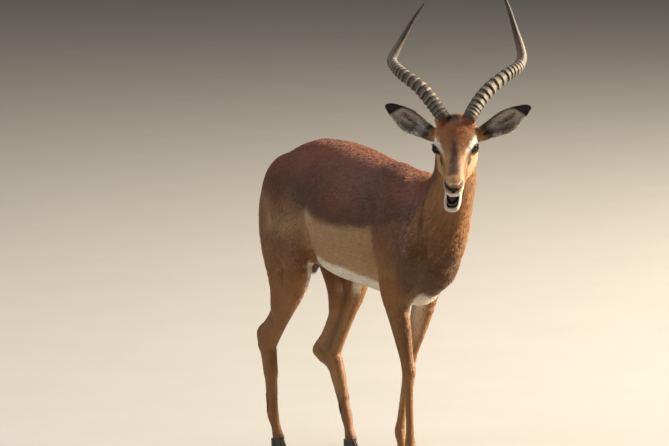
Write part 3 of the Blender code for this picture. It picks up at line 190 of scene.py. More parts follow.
class Ball:
    """An ellipsoid. axes are its three directions, as rows."""

    def __init__(self, c, r, axes=None, e=2.0):
        self.c, self.r = np.asarray(c, float), np.asarray(r, float) * np.ones(3)
        self.a = np.eye(3) if axes is None else np.asarray(axes, float)
        self.e = e

    def bounds(self):
        m = self.r.max()
        return self.c - m, self.c + m

    def dist(self, p):
        q = (p - self.c.astype(F4)) @ self.a.T.astype(F4)
        r = self.r.astype(F4)[None, :]
        return oval(q / r, r, self.e)


class Swell:
    """A soft bump (amount > 0) or hollow along a line, of the given reach."""

    def __init__(self, pts, reach, amount, side=(1, 0, 0)):
        pts = np.asarray(pts, float)
        if len(pts) == 1:
            pts = np.vstack([pts, pts + 1e-4])
        rows = [list(p) + [1.0] for p in pts]
        self.t = Tube(rows, side, n=max(2, 4 * (len(pts) - 1) + 1))
        self.c, self.reach, self.amount = self.t.c, reach, amount

    def bounds(self):
        return self.c.min(0) - 2.2 * self.reach, self.c.max(0) + 2.2 * self.reach

    def add(self, p):
        c = self.c.astype(F4)
        best = np.full(len(p), 1e9, F4)
        for i in range(len(c) - 1):
            a, ab = c[i], c[i + 1] - c[i]
            q = p - a
            w = np.clip((q @ ab) / max(float(ab @ ab), 1e-12), 0, 1)
            q = q - w[:, None] * ab
            best = np.minimum(best, np.einsum("ij,ij->i", q, q))
        return self.amount * np.exp(-best / self.reach**2)


def mirrored(x):
    """The same shape on the other side."""
    import copy

    m = copy.deepcopy(x)
    if isinstance(m, Tube):
        m.c[:, 0] *= -1
        m.t[:, 0] *= -1
        m.s[:, 0] *= -1
        m.s *= -1
        m.u = np.cross(m.s, m.t)
    elif isinstance(m, Ball):
        m.c[0] *= -1
        m.a = m.a * [-1, 1, 1]
    elif isinstance(m, Swell):
        m.c = m.c * [-1, 1, 1]
    return m


def smin(a, b, k):
    h = np.maximum(k - np.abs(a - b), 0) / k
    return np.minimum(a, b) - h * h * k * 0.25


def smax(a, b, k):
    return -smin(-a, -b, k)


class Shape:
    """A list of steps: add a body with a blend width, cut one, or swell."""

    def __init__(self):
        self.steps = []

    def add(self, prim, k=0.02, frame=None, both=False):
        self.steps.append(("add", prim, k, frame))
        if both:
            self.steps.append(("add", mirrored(prim), k, frame))

    def cut(self, prim, k=0.005, frame=None, both=False):
        self.steps.append(("cut", prim, k, frame))
        if both:
            self.steps.append(("cut", mirrored(prim), k, frame))

    def swell(self, prim, frame=None, both=False):
        self.steps.append(("swell", prim, 0, frame))
        if both:
            self.steps.append(("swell", mirrored(prim), 0, frame))

    def boxes(self, band):
        found = []
        for kind, prim, k, frame in self.steps:
            lo, hi = prim.bounds()
            if frame is not None:
                o, R = frame
                cs = np.array([[(lo, hi)[i][0], (lo, hi)[j][1], (lo, hi)[l][2]] for i in (0, 1) for j in (0, 1) for l in (0, 1)])
                cs = cs @ R + o
                lo, hi = cs.min(0), cs.max(0)
            m = (k + band) if kind != "swell" else 0.0
            found.append((lo - m, hi + m))
        return found

    def value(self, p, start=0.06, boxes=None, steps=None):
        p = np.ascontiguousarray(p, F4)
        f = np.full(len(p), start, F4)
        lo_p, hi_p = p.min(0), p.max(0)
        for i, (kind, prim, k, frame) in enumerate(self.steps):
            if steps is not None and not steps(i):
                continue
            sel = None
            if boxes is not None:
                lo, hi = boxes[i]
                if (lo > hi_p).any() or (hi < lo_p).any():
                    continue
                sel = np.nonzero(((p >= lo) & (p <= hi)).all(1))[0]
                if not len(sel):
                    continue
            q = p if sel is None else p[sel]
            g = f if sel is None else f[sel]
            if frame is not None:
                o, R = frame
                q = (q - o.astype(F4)) @ R.T.astype(F4)
            if kind == "add":
                g = smin(g, prim.dist(q), k)
            elif kind == "cut":
                g = smax(g, -prim.dist(q), k)
            else:
                g = g - prim.add(q)
            if sel is None:
                f = g.astype(F4)
            else:
                f[sel] = g
        return f


def axis_lines(lo, hi, fine, step, fine_step, ease=1.25):
    """Grid lines from lo to hi, close together inside fine = (a, b) and easing out of it."""
    if fine is None:
        n = int(math.ceil((hi - lo) / step))
        return lo + step * np.arange(n + 1)
    a, b = max(fine[0], lo), min(fine[1], hi)
    mid = list(np.arange(a, b + fine_step * 0.5, fine_step))
    up, s = [], fine_step
    x = mid[-1]
    while x < hi:
        s = min(s * ease, step)
        x += s
        up.append(x)
    dn, s = [], fine_step
    x = mid[0]
    while x > lo:
        s = min(s * ease, step)
        x -= s
        dn.append(x)
    return np.array(dn[::-1] + mid + up)


def field(shape, xs, ys, zs, block=8, inset=None, band=0.02):
    """The shape's value on the grid, worked out only near its surface."""
    B = block
    pad = lambda a: np.r_[a, a[-1] + (a[-1] - a[-2]) * np.arange(1, (-len(a)) % B + 1)]
    X, Y, Z = pad(xs), pad(ys), pad(zs)
    nb = [len(a) // B for a in (X, Y, Z)]
    mids = [a.reshape(-1, B).mean(1) for a in (X, Y, Z)]
    half = [np.ptp(a.reshape(-1, B), axis=1) * 0.5 * (B + 1) / B for a in (X, Y, Z)]
    g = np.stack(np.meshgrid(*mids, indexing="ij"), -1).reshape(-1, 3)
    hd = np.sqrt(sum(m.reshape(-1) ** 2 for m in np.meshgrid(*half, indexing="ij")))
    # coarse look at block centres, in slabs to keep boxes useful
    boxes = shape.boxes(band + 0.03)
    v = np.empty(len(g), F4)
    per = nb[1] * nb[2]
    for i in range(nb[0]):
        sl = slice(i * per, (i + 1) * per)
        v[sl] = shape.value(g[sl], start=0.06, boxes=boxes)
    live = np.abs(v) < 1.5 * hd + 0.004
    out = np.where(v > 0, 0.06, -0.06).astype(F4)
    full = np.empty((len(X), len(Y), len(Z)), F4)
    blocks = full.reshape(nb[0], B, nb[1], B, nb[2], B)
    blocks[:] = out.reshape(nb)[:, None, :, None, :, None]
    ids = np.nonzero(live)[0]
    bi, rem = np.divmod(ids, per)
    bj, bk = np.divmod(rem, nb[2])
    boxes = shape.boxes(band)
    # group neighbouring blocks so that one call covers a small region
    key = (bi // 4) * 10000 + (bj // 4) * 100 + (bk // 4)
    order = np.argsort(key, kind="stable")
    cuts = np.r_[0, np.nonzero(np.diff(key[order]))[0] + 1, len(order)]
    r = np.arange(B)
    for a, b in zip(cuts[:-1], cuts[1:]):
        o = order[a:b]
        I = (bi[o][:, None, None, None] * B + r[None, :, None, None])
        J = (bj[o][:, None, None, None] * B + r[None, None, :, None])
        K = (bk[o][:, None, None, None] * B + r[None, None, None, :])
        I, J, K = np.broadcast_arrays(I, J, K)
        p = np.stack([X[I], Y[J], Z[K]], -1).reshape(-1, 3).astype(F4)
        w = shape.value(p, start=0.06, boxes=boxes)
        if inset is not None:
            w = w + inset(p)
        full[I.reshape(-1), J.reshape(-1), K.reshape(-1)] = w
    return full[: len(xs), : len(ys), : len(zs)]


def surface(full, xs, ys, zs, openvdb):
    """Quads of the zero surface, in metres."""
    grid = openvdb.FloatGrid()
    grid.background = 0.06
    grid.copyFromArray(np.ascontiguousarray(full))
    pts, quads = grid.convertToQuads(isovalue=0.0)
    co = np.stack([np.interp(pts[:, i], np.arange(len(a)), a) for i, a in enumerate((xs, ys, zs))], 1)
    return co, quads

# ---- the animal -------------------------------------------------------------------------
# metres; +X is the animal's left, -Y its front, +Z up, the ground at z = 0

def rad(a):
    return math.radians(a)


HEAD_YAW, HEAD_PITCH, HEAD_ROLL = rad(39), rad(36), rad(-2)
HEAD_AT = np.array([-0.060, -0.452, 1.034])
JAW = rad(18.3)


def head_axes():
    cy, sy, cp, sp = math.cos(HEAD_YAW), math.sin(HEAD_YAW), math.cos(HEAD_PITCH), math.sin(HEAD_PITCH)
    fwd = np.array([-sy * cp, -cy * cp, -sp])
    left = np.array([cy, -sy, 0.0])
    up = np.cross(left, -fwd)
    left, up = math.cos(HEAD_ROLL) * left - math.sin(HEAD_ROLL) * up, math.sin(HEAD_ROLL) * left + math.cos(HEAD_ROLL) * up
    return np.array([left, -fwd, up])


HEAD = (HEAD_AT, head_axes())


def head_point(x, f, z):
    return np.array([x, -f, z]) @ HEAD[1] + HEAD[0]


def rows_f(rows):
    """Head rows given as x, f (forward), z, sizes."""
    return [[r[0], -r[1], r[2]] + list(r[3:]) for r in rows]


def jaw_row(r):
    """A lower jaw row turned open about its joint."""
    jf, jz = 0.045, -0.022
    c, s = math.cos(JAW), math.sin(JAW)
    f, z = r[1] - jf, r[2] - jz
    return [r[0] - 0.070 * f, jf + f * c + z * s, jz - f * s + z * c] + list(r[3:])


TRUNK = [
    # y, top, bottom, half width
    (-0.335, 0.735, 0.630, 0.036),
    (-0.308, 0.786, 0.566, 0.055),
    (-0.26, 0.836, 0.524, 0.073),
    (-0.18, 0.865, 0.507, 0.088),
    (-0.08, 0.890, 0.512, 0.108),
    (0.02, 0.909, 0.524, 0.124),
    (0.12, 0.929, 0.533, 0.128),
    (0.22, 0.940, 0.556, 0.119),
    (0.30, 0.937, 0.592, 0.104),
    (0.38, 0.905, 0.635, 0.084),
    (0.440, 0.847, 0.675, 0.060),
    (0.475, 0.812, 0.700, 0.036),
]


def trunk_rows():
    out = []
    for y, top, bot, a in TRUNK:
        z = bot + 0.52 * (top - bot)
        out.append([0, y, z, a, top - z, z - bot, 2.1, 2.1])
    return out


EYE_R = 0.0168
EYE = (0.0450, 0.0988, 0.0086)          # x, f, z in the head
LID = (0.70, 0.71, -0.05)             # from the outer to the inner corner: inward, forward, up
EYE_LOOK = unit([0.67, -0.61, 0.42])  # outward, forward, up in the head's own axes


def lid_axes(sg, out):
    """Along the lids towards the nose, out of the eye, and up, in the head's own axes."""
    a = local_frame(None, [sg * -LID[0], -LID[1], LID[2]], out)
    return a * [[1], [1], [sg]]


def mix(a, b, t):
    return a * (1 - t) + b * t


# shoulder, elbow, wrist, fetlock, pastern end
FORE = {
    -1: [(-0.076, -0.272, 0.632), (-0.070, -0.178, 0.505), (-0.066, -0.234, 0.318), (-0.064, -0.240, 0.105), (-0.064, -0.262, 0.050)],
    1: [(0.070, -0.228, 0.628), (0.064, -0.132, 0.505), (0.048, -0.076, 0.315), (0.048, -0.034, 0.105), (0.047, -0.050, 0.050)],
}
# hip, knee, hock, point of the hock, fetlock, pastern end
HIND = {
    -1: [(-0.074, 0.335, 0.750), (-0.104, 0.245, 0.535), (-0.096, 0.425, 0.312), (-0.096, 0.472, 0.350), (-0.090, 0.416, 0.105), (-0.088, 0.396, 0.050)],
    1: [(0.074, 0.335, 0.750), (0.105, 0.230, 0.535), (0.079, 0.343, 0.284), (0.073, 0.427, 0.287), (0.078, 0.276, 0.105), (0.077, 0.258, 0.050)],
}


def legs(shape):
    for sgn in (-1, 1):
        B, E, C, F, P = (np.array(v) for v in FORE[sgn])
        # shoulder blade and its muscle
        top = np.array([sgn * 0.044, -0.170, 0.850])
        shape.add(Tube([
            list(top) + [0.016, 0.030, 0.026],
            list(mix(top, B, 0.30)) + [0.026, 0.066, 0.040],
            list(mix(top, B, 0.62)) + [0.030, 0.085, 0.046],
            list(mix(top, B, 0.92)) + [0.034, 0.080, 0.044],
        ], n=16), k=0.035)
        # upper arm
        shape.add(Tube([
            list(B + [0, 0.004, 0.020]) + [0.028, 0.044, 0.034],
            list(mix(B, E, 0.45)) + [0.030, 0.044, 0.036],
            list(E + [0, 0, 0.02]) + [0.027, 0.036, 0.034],
        ], n=12), k=0.04)
        # triceps
        shape.add(Ball(mix(B, E, 0.62) + [sgn * 0.004, 0.042, 0.062], (0.027, 0.050, 0.105), [[1, 0, 0], [0, 0.93, 0.37], [0, -0.37, 0.93]]), k=0.025)
        rows = [
            list(E + [sgn * 0.002, 0.0, 0.06]) + [0.028, 0.043, 0.050],
            list(E) + [0.0305, 0.044, 0.044],
            list(mix(E, C, 0.15)) + [0.0290, 0.038, 0.043],
            list(mix(E, C, 0.35)) + [0.0262, 0.031, 0.038],
            list(mix(E, C, 0.62)) + [0.0218, 0.0240, 0.0300],
            list(mix(E, C, 0.86)) + [0.0192, 0.0200, 0.0230],
            list(C) + [0.0212, 0.0205, 0.0225],
            list(mix(C, F, 0.09)) + [0.0180, 0.0190, 0.0175],
            list(mix(C, F, 0.25)) + [0.0130, 0.0150, 0.0125],
            list(mix(C, F, 0.60)) + [0.0118, 0.0145, 0.0110],
            list(mix(C, F, 0.88)) + [0.0125, 0.0160, 0.0120],
            list(F) + [0.0165, 0.0185, 0.0165],
            list(mix(F, P, 0.55)) + [0.0140, 0.0140, 0.0140],
            list(P) + [0.0165, 0.0170, 0.0165],
            list(P + [0, -0.006, -0.014]) + [0.0190, 0.018, 0.020],
        ]
        shape.add(Tube(rows, n=48, cap=(1.0, 0.3)), k=0.025)
    for sgn in (-1, 1):
        H, S, K, T, F, P = (np.array(v) for v in HIND[sgn])
        isch = np.array([sgn * 0.052, 0.470, 0.752])
        # haunch
        shape.add(Ball(H + [sgn * -0.004, 0.010, 0.014], (0.050, 0.138, 0.124)), k=0.035)
        # front of the thigh, hip to knee
        shape.add(Tube([
            list(H + [sgn * 0.004, -0.02, 0.0]) + [0.050, 0.10, 0.080],
            list(mix(H, S, 0.5) + [sgn * 0.006, 0.01, 0]) + [0.047, 0.080, 0.062],
            list(S + [0, 0.015, 0.025]) + [0.037, 0.055, 0.038],
            list(S + [0, 0.03, -0.03]) + [0.030, 0.045, 0.028],
        ], n=14), k=0.035)
        # back of the thigh, seat bone to calf
        back = 0.0 if sgn < 0 else 0.021      # the far thigh is fuller behind
        A = mix(S, K, 0.34) + [0, 0.054 + back, 0.0]
        shape.add(Tube([
            list(isch + [0, 0.002, 0.03]) + [0.022, 0.020, 0.05],
            list(isch + [sgn * 0.008, 0.006, -0.03]) + [0.032, 0.028, 0.06],
            list(mix(isch, A, 0.45) + [sgn * 0.012, 0.0, 0.0]) + [0.040, 0.032, 0.07],
            list(mix(isch, A, 0.80) + [sgn * 0.005, -0.008, 0.0]) + [0.034, 0.030, 0.055],
            list(A + [0, 0, -0.02]) + [0.024, 0.026, 0.035],
        ], n=18), k=0.03)
        # calf and its tendon down to the point of the hock
        shape.add(Tube([
            list(mix(S, K, 0.08) + [0, 0.060 + back, 0.0]) + [0.029, 0.036, 0.04],
            list(mix(S, K, 0.36) + [0, 0.044 + back, 0.004]) + [0.0225, 0.024, 0.035],
            list(mix(mix(S, K, 0.36) + [0, 0.044 + back, 0.004], T, 0.45) + [0, -0.006, 0.004]) + [0.0110, 0.0115, 0.034],
            list(mix(mix(S, K, 0.36) + [0, 0.044 + back, 0.004], T, 0.75) + [0, -0.006, 0.004]) + [0.0085, 0.0085, 0.036],
            list(T) + [0.0105, 0.0110, 0.034],
            list(mix(T, K, 0.5) + [0, 0.012, -0.02]) + [0.0115, 0.012, 0.020],
        ], n=26), k=0.028)
        if sgn > 0:
            shape.add(Tube([
                list(mix(S, K, 0.72) + [0, 0.028, 0.004]) + [0.007, 0.012, 0.014],
                list(mix(S, K, 0.88) + [0, 0.040, 0.002]) + [0.008, 0.014, 0.016],
                list(mix(K, T, 0.55) + [0, 0, -0.006]) + [0.010, 0.016, 0.018],
            ], n=12), k=0.012)
        # from the point of the hock down the back of the cannon
        shape.add(Tube([
            list(T + [0, -0.006, -0.006]) + [0.0110, 0.0110, 0.028],
            list(mix(T, mix(K, F, 0.16), 0.5) + [0, 0.008, -0.010]) + [0.0125, 0.0125, 0.022],
            list(mix(K, F, 0.24) + [0, 0.010, 0]) + [0.0145, 0.0130, 0.019],
            list(mix(K, F, 0.38) + [0, 0.004, 0]) + [0.0140, 0.0130, 0.018],
        ], n=16), k=0.014)
        # shin, hock, cannon, fetlock, pastern
        wide = 1.0 if sgn < 0 else 1.18
        shape.add(Tube([
            list(S + [0, 0.020, 0.01]) + [0.033, 0.036, 0.032],
            list(mix(S, K, 0.22)) + [0.029, 0.033, 0.028],
            list(mix(S, K, 0.50)) + [0.0235, 0.0285, 0.022],
            list(mix(S, K, 0.78)) + [0.0205, 0.0265, 0.0195],
            list(K) + [0.0225, 0.0300, 0.0215],
            list(mix(K, F, 0.10)) + [0.0212, 0.0275 * wide, 0.0215 * wide],
            list(mix(K, F, 0.25)) + [0.0192, 0.0250 * wide, 0.0205 * wide],
            list(mix(K, F, 0.55)) + [0.0180, 0.0225 * wide, 0.0190 * wide],
            list(mix(K, F, 0.85)) + [0.0158, 0.0200, 0.0162],
            list(F) + [0.0178, 0.0200, 0.0178],
            list(mix(F, P, 0.55)) + [0.0145, 0.0145, 0.0145],
            list(P) + [0.0168, 0.0170, 0.0165],
            list(P + [0, -0.006, -0.014]) + [0.0190, 0.018, 0.020],
        ], n=52, cap=(1.0, 0.3)), k=0.02)


def tail(shape):
    shape.add(Tube([
        [0, 0.448, 0.832, 0.028, 0.022, 0.03],
        [0, 0.496, 0.806, 0.021, 0.017, 0.020],
        [0, 0.525, 0.757, 0.016, 0.012, 0.014],
        [0, 0.535, 0.690, 0.016, 0.010, 0.012],
        [0, 0.536, 0.615, 0.017, 0.011, 0.013],
        [0, 0.533, 0.550, 0.013, 0.008, 0.009],
        [0, 0.531, 0.525, 0.006, 0.004, 0.005],
    ], n=26, cap=(1, 1.5)), k=0.010)


def body(shape, with_tail=True):
    shape.add(Tube(trunk_rows(), n=110), k=0.0001)
    # breast
    shape.add(Tube([
        [0, -0.284, 0.745, 0.058, 0.05, 0.060],
        [-0.004, -0.270, 0.670, 0.050, 0.048, 0.050],
        [-0.004, -0.230, 0.600, 0.038, 0.046, 0.043],
        [0, -0.198, 0.545, 0.036, 0.033, 0.030],
    ], n=34), k=0.055)
    shape.add(Ball((0, -0.238, 0.665), (0.070, 0.050, 0.095)), k=0.05)
    shape.add(Tube([
        [-0.004, -0.310, 0.700, 0.028, 0.033, 0.033],
        [-0.004, -0.315, 0.6600, 0.029, 0.033, 0.033],
        [-0.004, -0.304, 0.6260, 0.029, 0.034, 0.034],
        [-0.003, -0.285, 0.5990, 0.029, 0.034, 0.034],
        [-0.002, -0.258, 0.5800, 0.029, 0.034, 0.034],
        [0, -0.228, 0.5600, 0.029, 0.033, 0.033],
        [0, -0.200, 0.5400, 0.028, 0.031, 0.031],
    ], n=40), k=0.026)
    # neck
    hx = HEAD[1][0]
    top = head_point(0, -0.005, -0.02)
    shape.add(Tube([
        list(top) + [0.052, 0.040, 0.062],
        list(top * 0.62 + np.array([-0.008, -0.354, 0.84]) * 0.38) + [0.054, 0.058, 0.070],
        [-0.007, -0.368, 0.880, 0.060, 0.066, 0.076],
        [0.004, -0.302, 0.785, 0.064, 0.086, 0.096],
        [0.0, -0.235, 0.71, 0.062, 0.105, 0.100],
    ], side=[hx, hx * 0.5 + np.array([0.5, 0, 0]), [1, 0, 0], [1, 0, 0]], n=60), k=0.06)
    # crest of the withers, and the nape running down into it
    shape.add(Tube([
        [0, -0.315, 0.812, 0.026, 0.024, 0.03],
        [0, -0.25, 0.816, 0.02, 0.025, 0.03],
        [0, -0.19, 0.842, 0.022, 0.024, 0.03],
        [0, -0.10, 0.860, 0.02, 0.022, 0.03],
    ], n=24), k=0.05)
    # furrow behind the shoulder with the upper arm full before it, the fold before the thigh,
    # the edge of the hip, and the hollow before the shoulder blade
    for path, reach, rise in (
        ([(-0.101, -0.090, 0.790), (-0.105, -0.096, 0.720), (-0.102, -0.099, 0.672), (-0.090, -0.098, 0.600)], 0.020, -0.0065),
        ([(-0.098, -0.135, 0.720), (-0.098, -0.140, 0.660), (-0.090, -0.135, 0.600)], 0.032, 0.0040),
        ([(-0.119, 0.216, 0.722), (-0.112, 0.213, 0.675), (-0.104, 0.209, 0.642), (-0.091, 0.207, 0.606)], 0.015, -0.0070),
        ([(-0.124, 0.245, 0.725), (-0.118, 0.240, 0.670), (-0.110, 0.238, 0.620)], 0.020, 0.0035),
        ([(-0.121, 0.195, 0.742), (-0.117, 0.188, 0.700)], 0.014, 0.0030),
        ([(-0.100, 0.070, 0.863), (-0.111, 0.105, 0.843), (-0.119, 0.138, 0.818), (-0.123, 0.163, 0.785), (-0.123, 0.180, 0.755)], 0.013, 0.0026),
        ([(-0.104, 0.115, 0.868), (-0.115, 0.150, 0.845), (-0.122, 0.185, 0.810), (-0.124, 0.200, 0.775)], 0.020, -0.0030),
        ([(-0.060, -0.322, 0.850), (-0.066, -0.297, 0.820), (-0.076, -0.281, 0.788), (-0.086, -0.279, 0.750), (-0.093, -0.282, 0.710)], 0.020, -0.0040),
        ([(-0.046, -0.095, 0.885), (-0.064, -0.145, 0.856), (-0.080, -0.190, 0.815)], 0.018, 0.0025),
    ):
        shape.swell(Swell([np.array(q) for q in path], reach, rise), both=True)
    # sheath and scrotum
    shape.add(Tube([[0, 0.270, 0.594, 0.014, 0.014], [0, 0.205, 0.562, 0.012, 0.011], [0, 0.170, 0.549, 0.009, 0.009], [0, 0.156, 0.544, 0.006, 0.006]], n=12), k=0.016)
    shape.add(Ball((0, 0.345, 0.570), (0.026, 0.030, 0.040)), k=0.02)
    if with_tail:
        tail(shape)
    legs(shape)


def local_frame(o, x, y):
    """A frame at o with axes x, y made square to x, and their product."""
    x = unit(x)
    y = unit(np.asarray(y, float) - (np.asarray(y, float) @ x) * x)
    return np.array([x, y, np.cross(x, y)])


def hv(x, f, z):
    """A direction in the head's own axes, as used inside the head frame."""
    return np.array([x, -f, z], float)


NOSTRIL = [
    # x, f, z and the half sizes of the opening, from its upper outer end to the middle of the nose
    (0.0240, 0.2370, 0.0185, 0.0013, 0.0013),
    (0.0260, 0.2445, 0.0120, 0.0026, 0.0024),
    (0.0222, 0.2560, 0.0112, 0.0042, 0.0042),
    (0.0130, 0.2670, 0.0115, 0.0034, 0.0036),
    (0.0050, 0.2715, 0.0085, 0.0022, 0.0026),
]


def head(shape, sockets=True, skin=0.0):
    fr = HEAD
    # skull and upper jaw, from the nose back
    shape.add(Tube(rows_f([
        (0, 0.256, 0.001, 0.0235, 0.0175, 0.0225, 2.6, 2.4),
        (0, 0.240, 0.000, 0.0280, 0.0225, 0.0270, 2.6, 2.5),
        (0, 0.214, -0.002, 0.0284, 0.0265, 0.0300, 2.4, 2.5),
        (0, 0.180, -0.001, 0.0302, 0.0290, 0.0370, 2.3, 2.4),
        (0, 0.150, 0.002, 0.0365, 0.0320, 0.0440, 2.3, 2.3),
        (0, 0.125, 0.006, 0.0470, 0.0365, 0.0500, 2.3, 2.2),
        (0, 0.100, 0.008, 0.0560, 0.0430, 0.0550, 2.4, 2.2),
        (0, 0.075, 0.008, 0.0590, 0.0455, 0.0580, 2.4, 2.2),
        (0, 0.045, 0.006, 0.0570, 0.0425, 0.0580, 2.4, 2.1),
        (0, 0.015, 0.000, 0.0490, 0.0345, 0.0530),
        (0, -0.010, -0.008, 0.0400, 0.0270, 0.0450),
    ]), n=44), k=0.03, frame=fr)
    # cheeks, from the mouth corner back over the jaw muscle
    shape.add(Tube(rows_f([
        (0, 0.188, -0.036, 0.0235, 0.018, 0.016),
        (0, 0.160, -0.044, 0.0310, 0.024, 0.024),
        (0, 0.120, -0.052, 0.0460, 0.036, 0.036),
        (0, 0.080, -0.052, 0.0560, 0.042, 0.046),
        (0, 0.045, -0.046, 0.0560, 0.042, 0.048),
        (0, 0.015, -0.038, 0.0500, 0.036, 0.044),
    ]), n=20), k=0.012, frame=fr)
    # lower jaw
    shape.add(Tube(rows_f([jaw_row(r) for r in (
        (0, 0.234, -0.0510, 0.0205, 0.0090, 0.0125, 2.3, 2.2),
        (0, 0.218, -0.0535, 0.0240, 0.0105, 0.0155, 2.4, 2.2),
        (0, 0.185, -0.0570, 0.0240, 0.0120, 0.0175, 2.4, 2.2),
        (0, 0.150, -0.0600, 0.0280, 0.0180, 0.0200, 2.3, 2.2),
        (0, 0.110, -0.0620, 0.0360, 0.0300, 0.0240, 2.3, 2.2),
        (0, 0.070, -0.0560, 0.0400, 0.0360, 0.0270, 2.3, 2.2),
        (0, 0.045, -0.0450, 0.0400, 0.0380, 0.0290, 2.3, 2.2),
    )]), n=34), k=0.008, frame=fr)
    # cheek bone under the eye, brow ridge over it, hollows before the eye and at the temple
    shape.swell(Swell([hv(0.056, 0.070, -0.010), hv(0.052, 0.110, -0.016), hv(0.040, 0.140, -0.014)], 0.011, 0.0030), frame=fr, both=True)
    shape.swell(Swell([hv(0.050, 0.070, 0.032), hv(0.048, 0.095, 0.034), hv(0.040, 0.118, 0.028)], 0.009, 0.0045), frame=fr, both=True)
    shape.swell(Swell([hv(0.040, 0.128, 0.004), hv(0.036, 0.150, 0.000)], 0.010, -0.0035), frame=fr, both=True)
    shape.swell(Swell([hv(0.030, 0.205, -0.012), hv(0.031, 0.175, -0.018)], 0.012, -0.0020), frame=fr, both=True)
    # the crown, full between the horns
    shape.add(Ball((0, -0.050, 0.036), (0.040, 0.040, 0.028)), k=0.022, frame=fr)
    # bony foot of each horn
    for sg in (-1, 1):
        shape.add(Tube([[sg * 0.029, -0.050, 0.030, 0.020, 0.022], [sg * 0.035, -0.040, 0.049, 0.0195, 0.0205], [sg * 0.040, -0.030, 0.060, 0.0185, 0.0195]], n=6, cap=(1, 0.25)), k=0.010, frame=fr)
    # eyelids round each eye, open in an almond
    for sg in (-1, 1):
        c = np.array([sg * EYE[0], -EYE[1], EYE[2]])
        look = unit([sg * EYE_LOOK[0], EYE_LOOK[1], EYE_LOOK[2]])
        shape.add(Ball(c, EYE_R + 0.0032), k=0.008, frame=fr)
        ax = lid_axes(sg, look)                                     # along the lids, out, up
        shape.swell(Swell([c + look * 0.0165 + ax[0] * t + ax[2] * h for t, h in ((-0.014, 0.003), (0, 0.0092), (0.013, 0.004))], 0.0038, 0.0026), frame=fr)
        shape.swell(Swell([c + look * 0.0165 + ax[0] * t + ax[2] * h for t, h in ((-0.013, -0.005), (0, -0.0095), (0.014, -0.005))], 0.0034, 0.0012), frame=fr)
        if sockets:
            shape.cut(Ball(c + look * (EYE_R + 0.004) - ax[2] * 0.0008, (0.0160, 0.014, 0.0078), ax), k=0.0020, frame=fr)
            shape.cut(Ball(c + look * (EYE_R + 0.004) + ax[0] * 0.0145 - ax[2] * 0.002, (0.0065, 0.010, 0.0032), ax), k=0.0015, frame=fr)
            shape.cut(Ball(c, EYE_R + 0.0003), k=0.0004, frame=fr)
    # nostrils: commas that meet below over the lip
    for sg in (-1, 1):
        shape.swell(Swell([hv(sg * 0.0205, 0.230, 0.022), hv(sg * 0.0215, 0.247, 0.0185), hv(sg * 0.012, 0.262, 0.0185)], 0.0055, 0.0016), frame=fr)
        shape.swell(Swell([hv(sg * 0.0280, 0.238, 0.006), hv(sg * 0.0262, 0.252, 0.002), hv(sg * 0.016, 0.266, 0.002)], 0.0055, 0.0014), frame=fr)
        shape.cut(Tube(rows_f([(sg * x, f, z, a, b) for x, f, z, a, b in NOSTRIL]), n=16), k=0.002, frame=fr)
    # groove down the upper lip
    shape.swell(Swell([hv(0, 0.273, 0.005), hv(0, 0.268, -0.023)], 0.0028, -0.0022), frame=fr)
    # upper lip: soft fullness either side
    for sg in (-1, 1):
        shape.swell(Swell([hv(sg * 0.010, 0.264, -0.012), hv(sg * 0.019, 0.250, -0.018), hv(sg * 0.021, 0.222, -0.027)], 0.0075, 0.0022), frame=fr)
    # the mouth: an open wedge behind the lips
    shape.cut(Tube(rows_f([
        (-0.0125, 0.275, -0.0560, 0.0175, 0.0180, 0.0300, 2.4, 2.4),
        (-0.0115, 0.248, -0.0545, 0.0188, 0.0178, 0.0300, 2.4, 2.4),
        (-0.0105, 0.225, -0.0515, 0.0190, 0.0155, 0.0240, 2.4, 2.4),
        (-0.0085, 0.200, -0.0485, 0.0180, 0.0110, 0.0140, 2.4, 2.4),
        (-0.0060, 0.184, -0.0465, 0.0140, 0.0050, 0.0060, 2.4, 2.4),
    ]), n=20), k=0.004, frame=fr)


    # the tray of the lower jaw, inside the lip
    shape.cut(Tube(rows_f([jaw_row(r) for r in (
        (0, 0.222, -0.0420, 0.0150, 0.012, 0.0160, 2.4, 2.8),
        (0, 0.205, -0.0430, 0.0170, 0.012, 0.0165, 2.4, 2.8),
        (0, 0.175, -0.0450, 0.0165, 0.012, 0.0130, 2.4, 2.8),
        (0, 0.150, -0.0470, 0.0120, 0.008, 0.0070, 2.4, 2.6),
    )]), n=14), k=0.004, frame=fr)


# ears, in the head: foot, tip, the way the open side faces, and the bend of the back
EARS = {
    -1: dict(foot=(-0.050, 0.032, 0.004), tip=(-0.1934, -0.0136, 0.0699), face=(-0.20, 0.80, 0.42)),
    1: dict(foot=(0.050, 0.032, 0.004), tip=(0.2058, -0.0068, 0.0597), face=(0.20, 0.80, 0.42)),
}


UP = np.array([0.0, 0.0, 1.0])
# how far the middle of the ear sags towards its lower edge, along its length
EAR_LOW = ([0.0, 0.10, 0.22, 0.36, 0.52, 0.68, 0.82, 0.93, 1.0], [0.009, 0.0130, 0.0125, 0.0125, 0.0112, 0.0060, 0.0016, -0.0012, -0.0012])


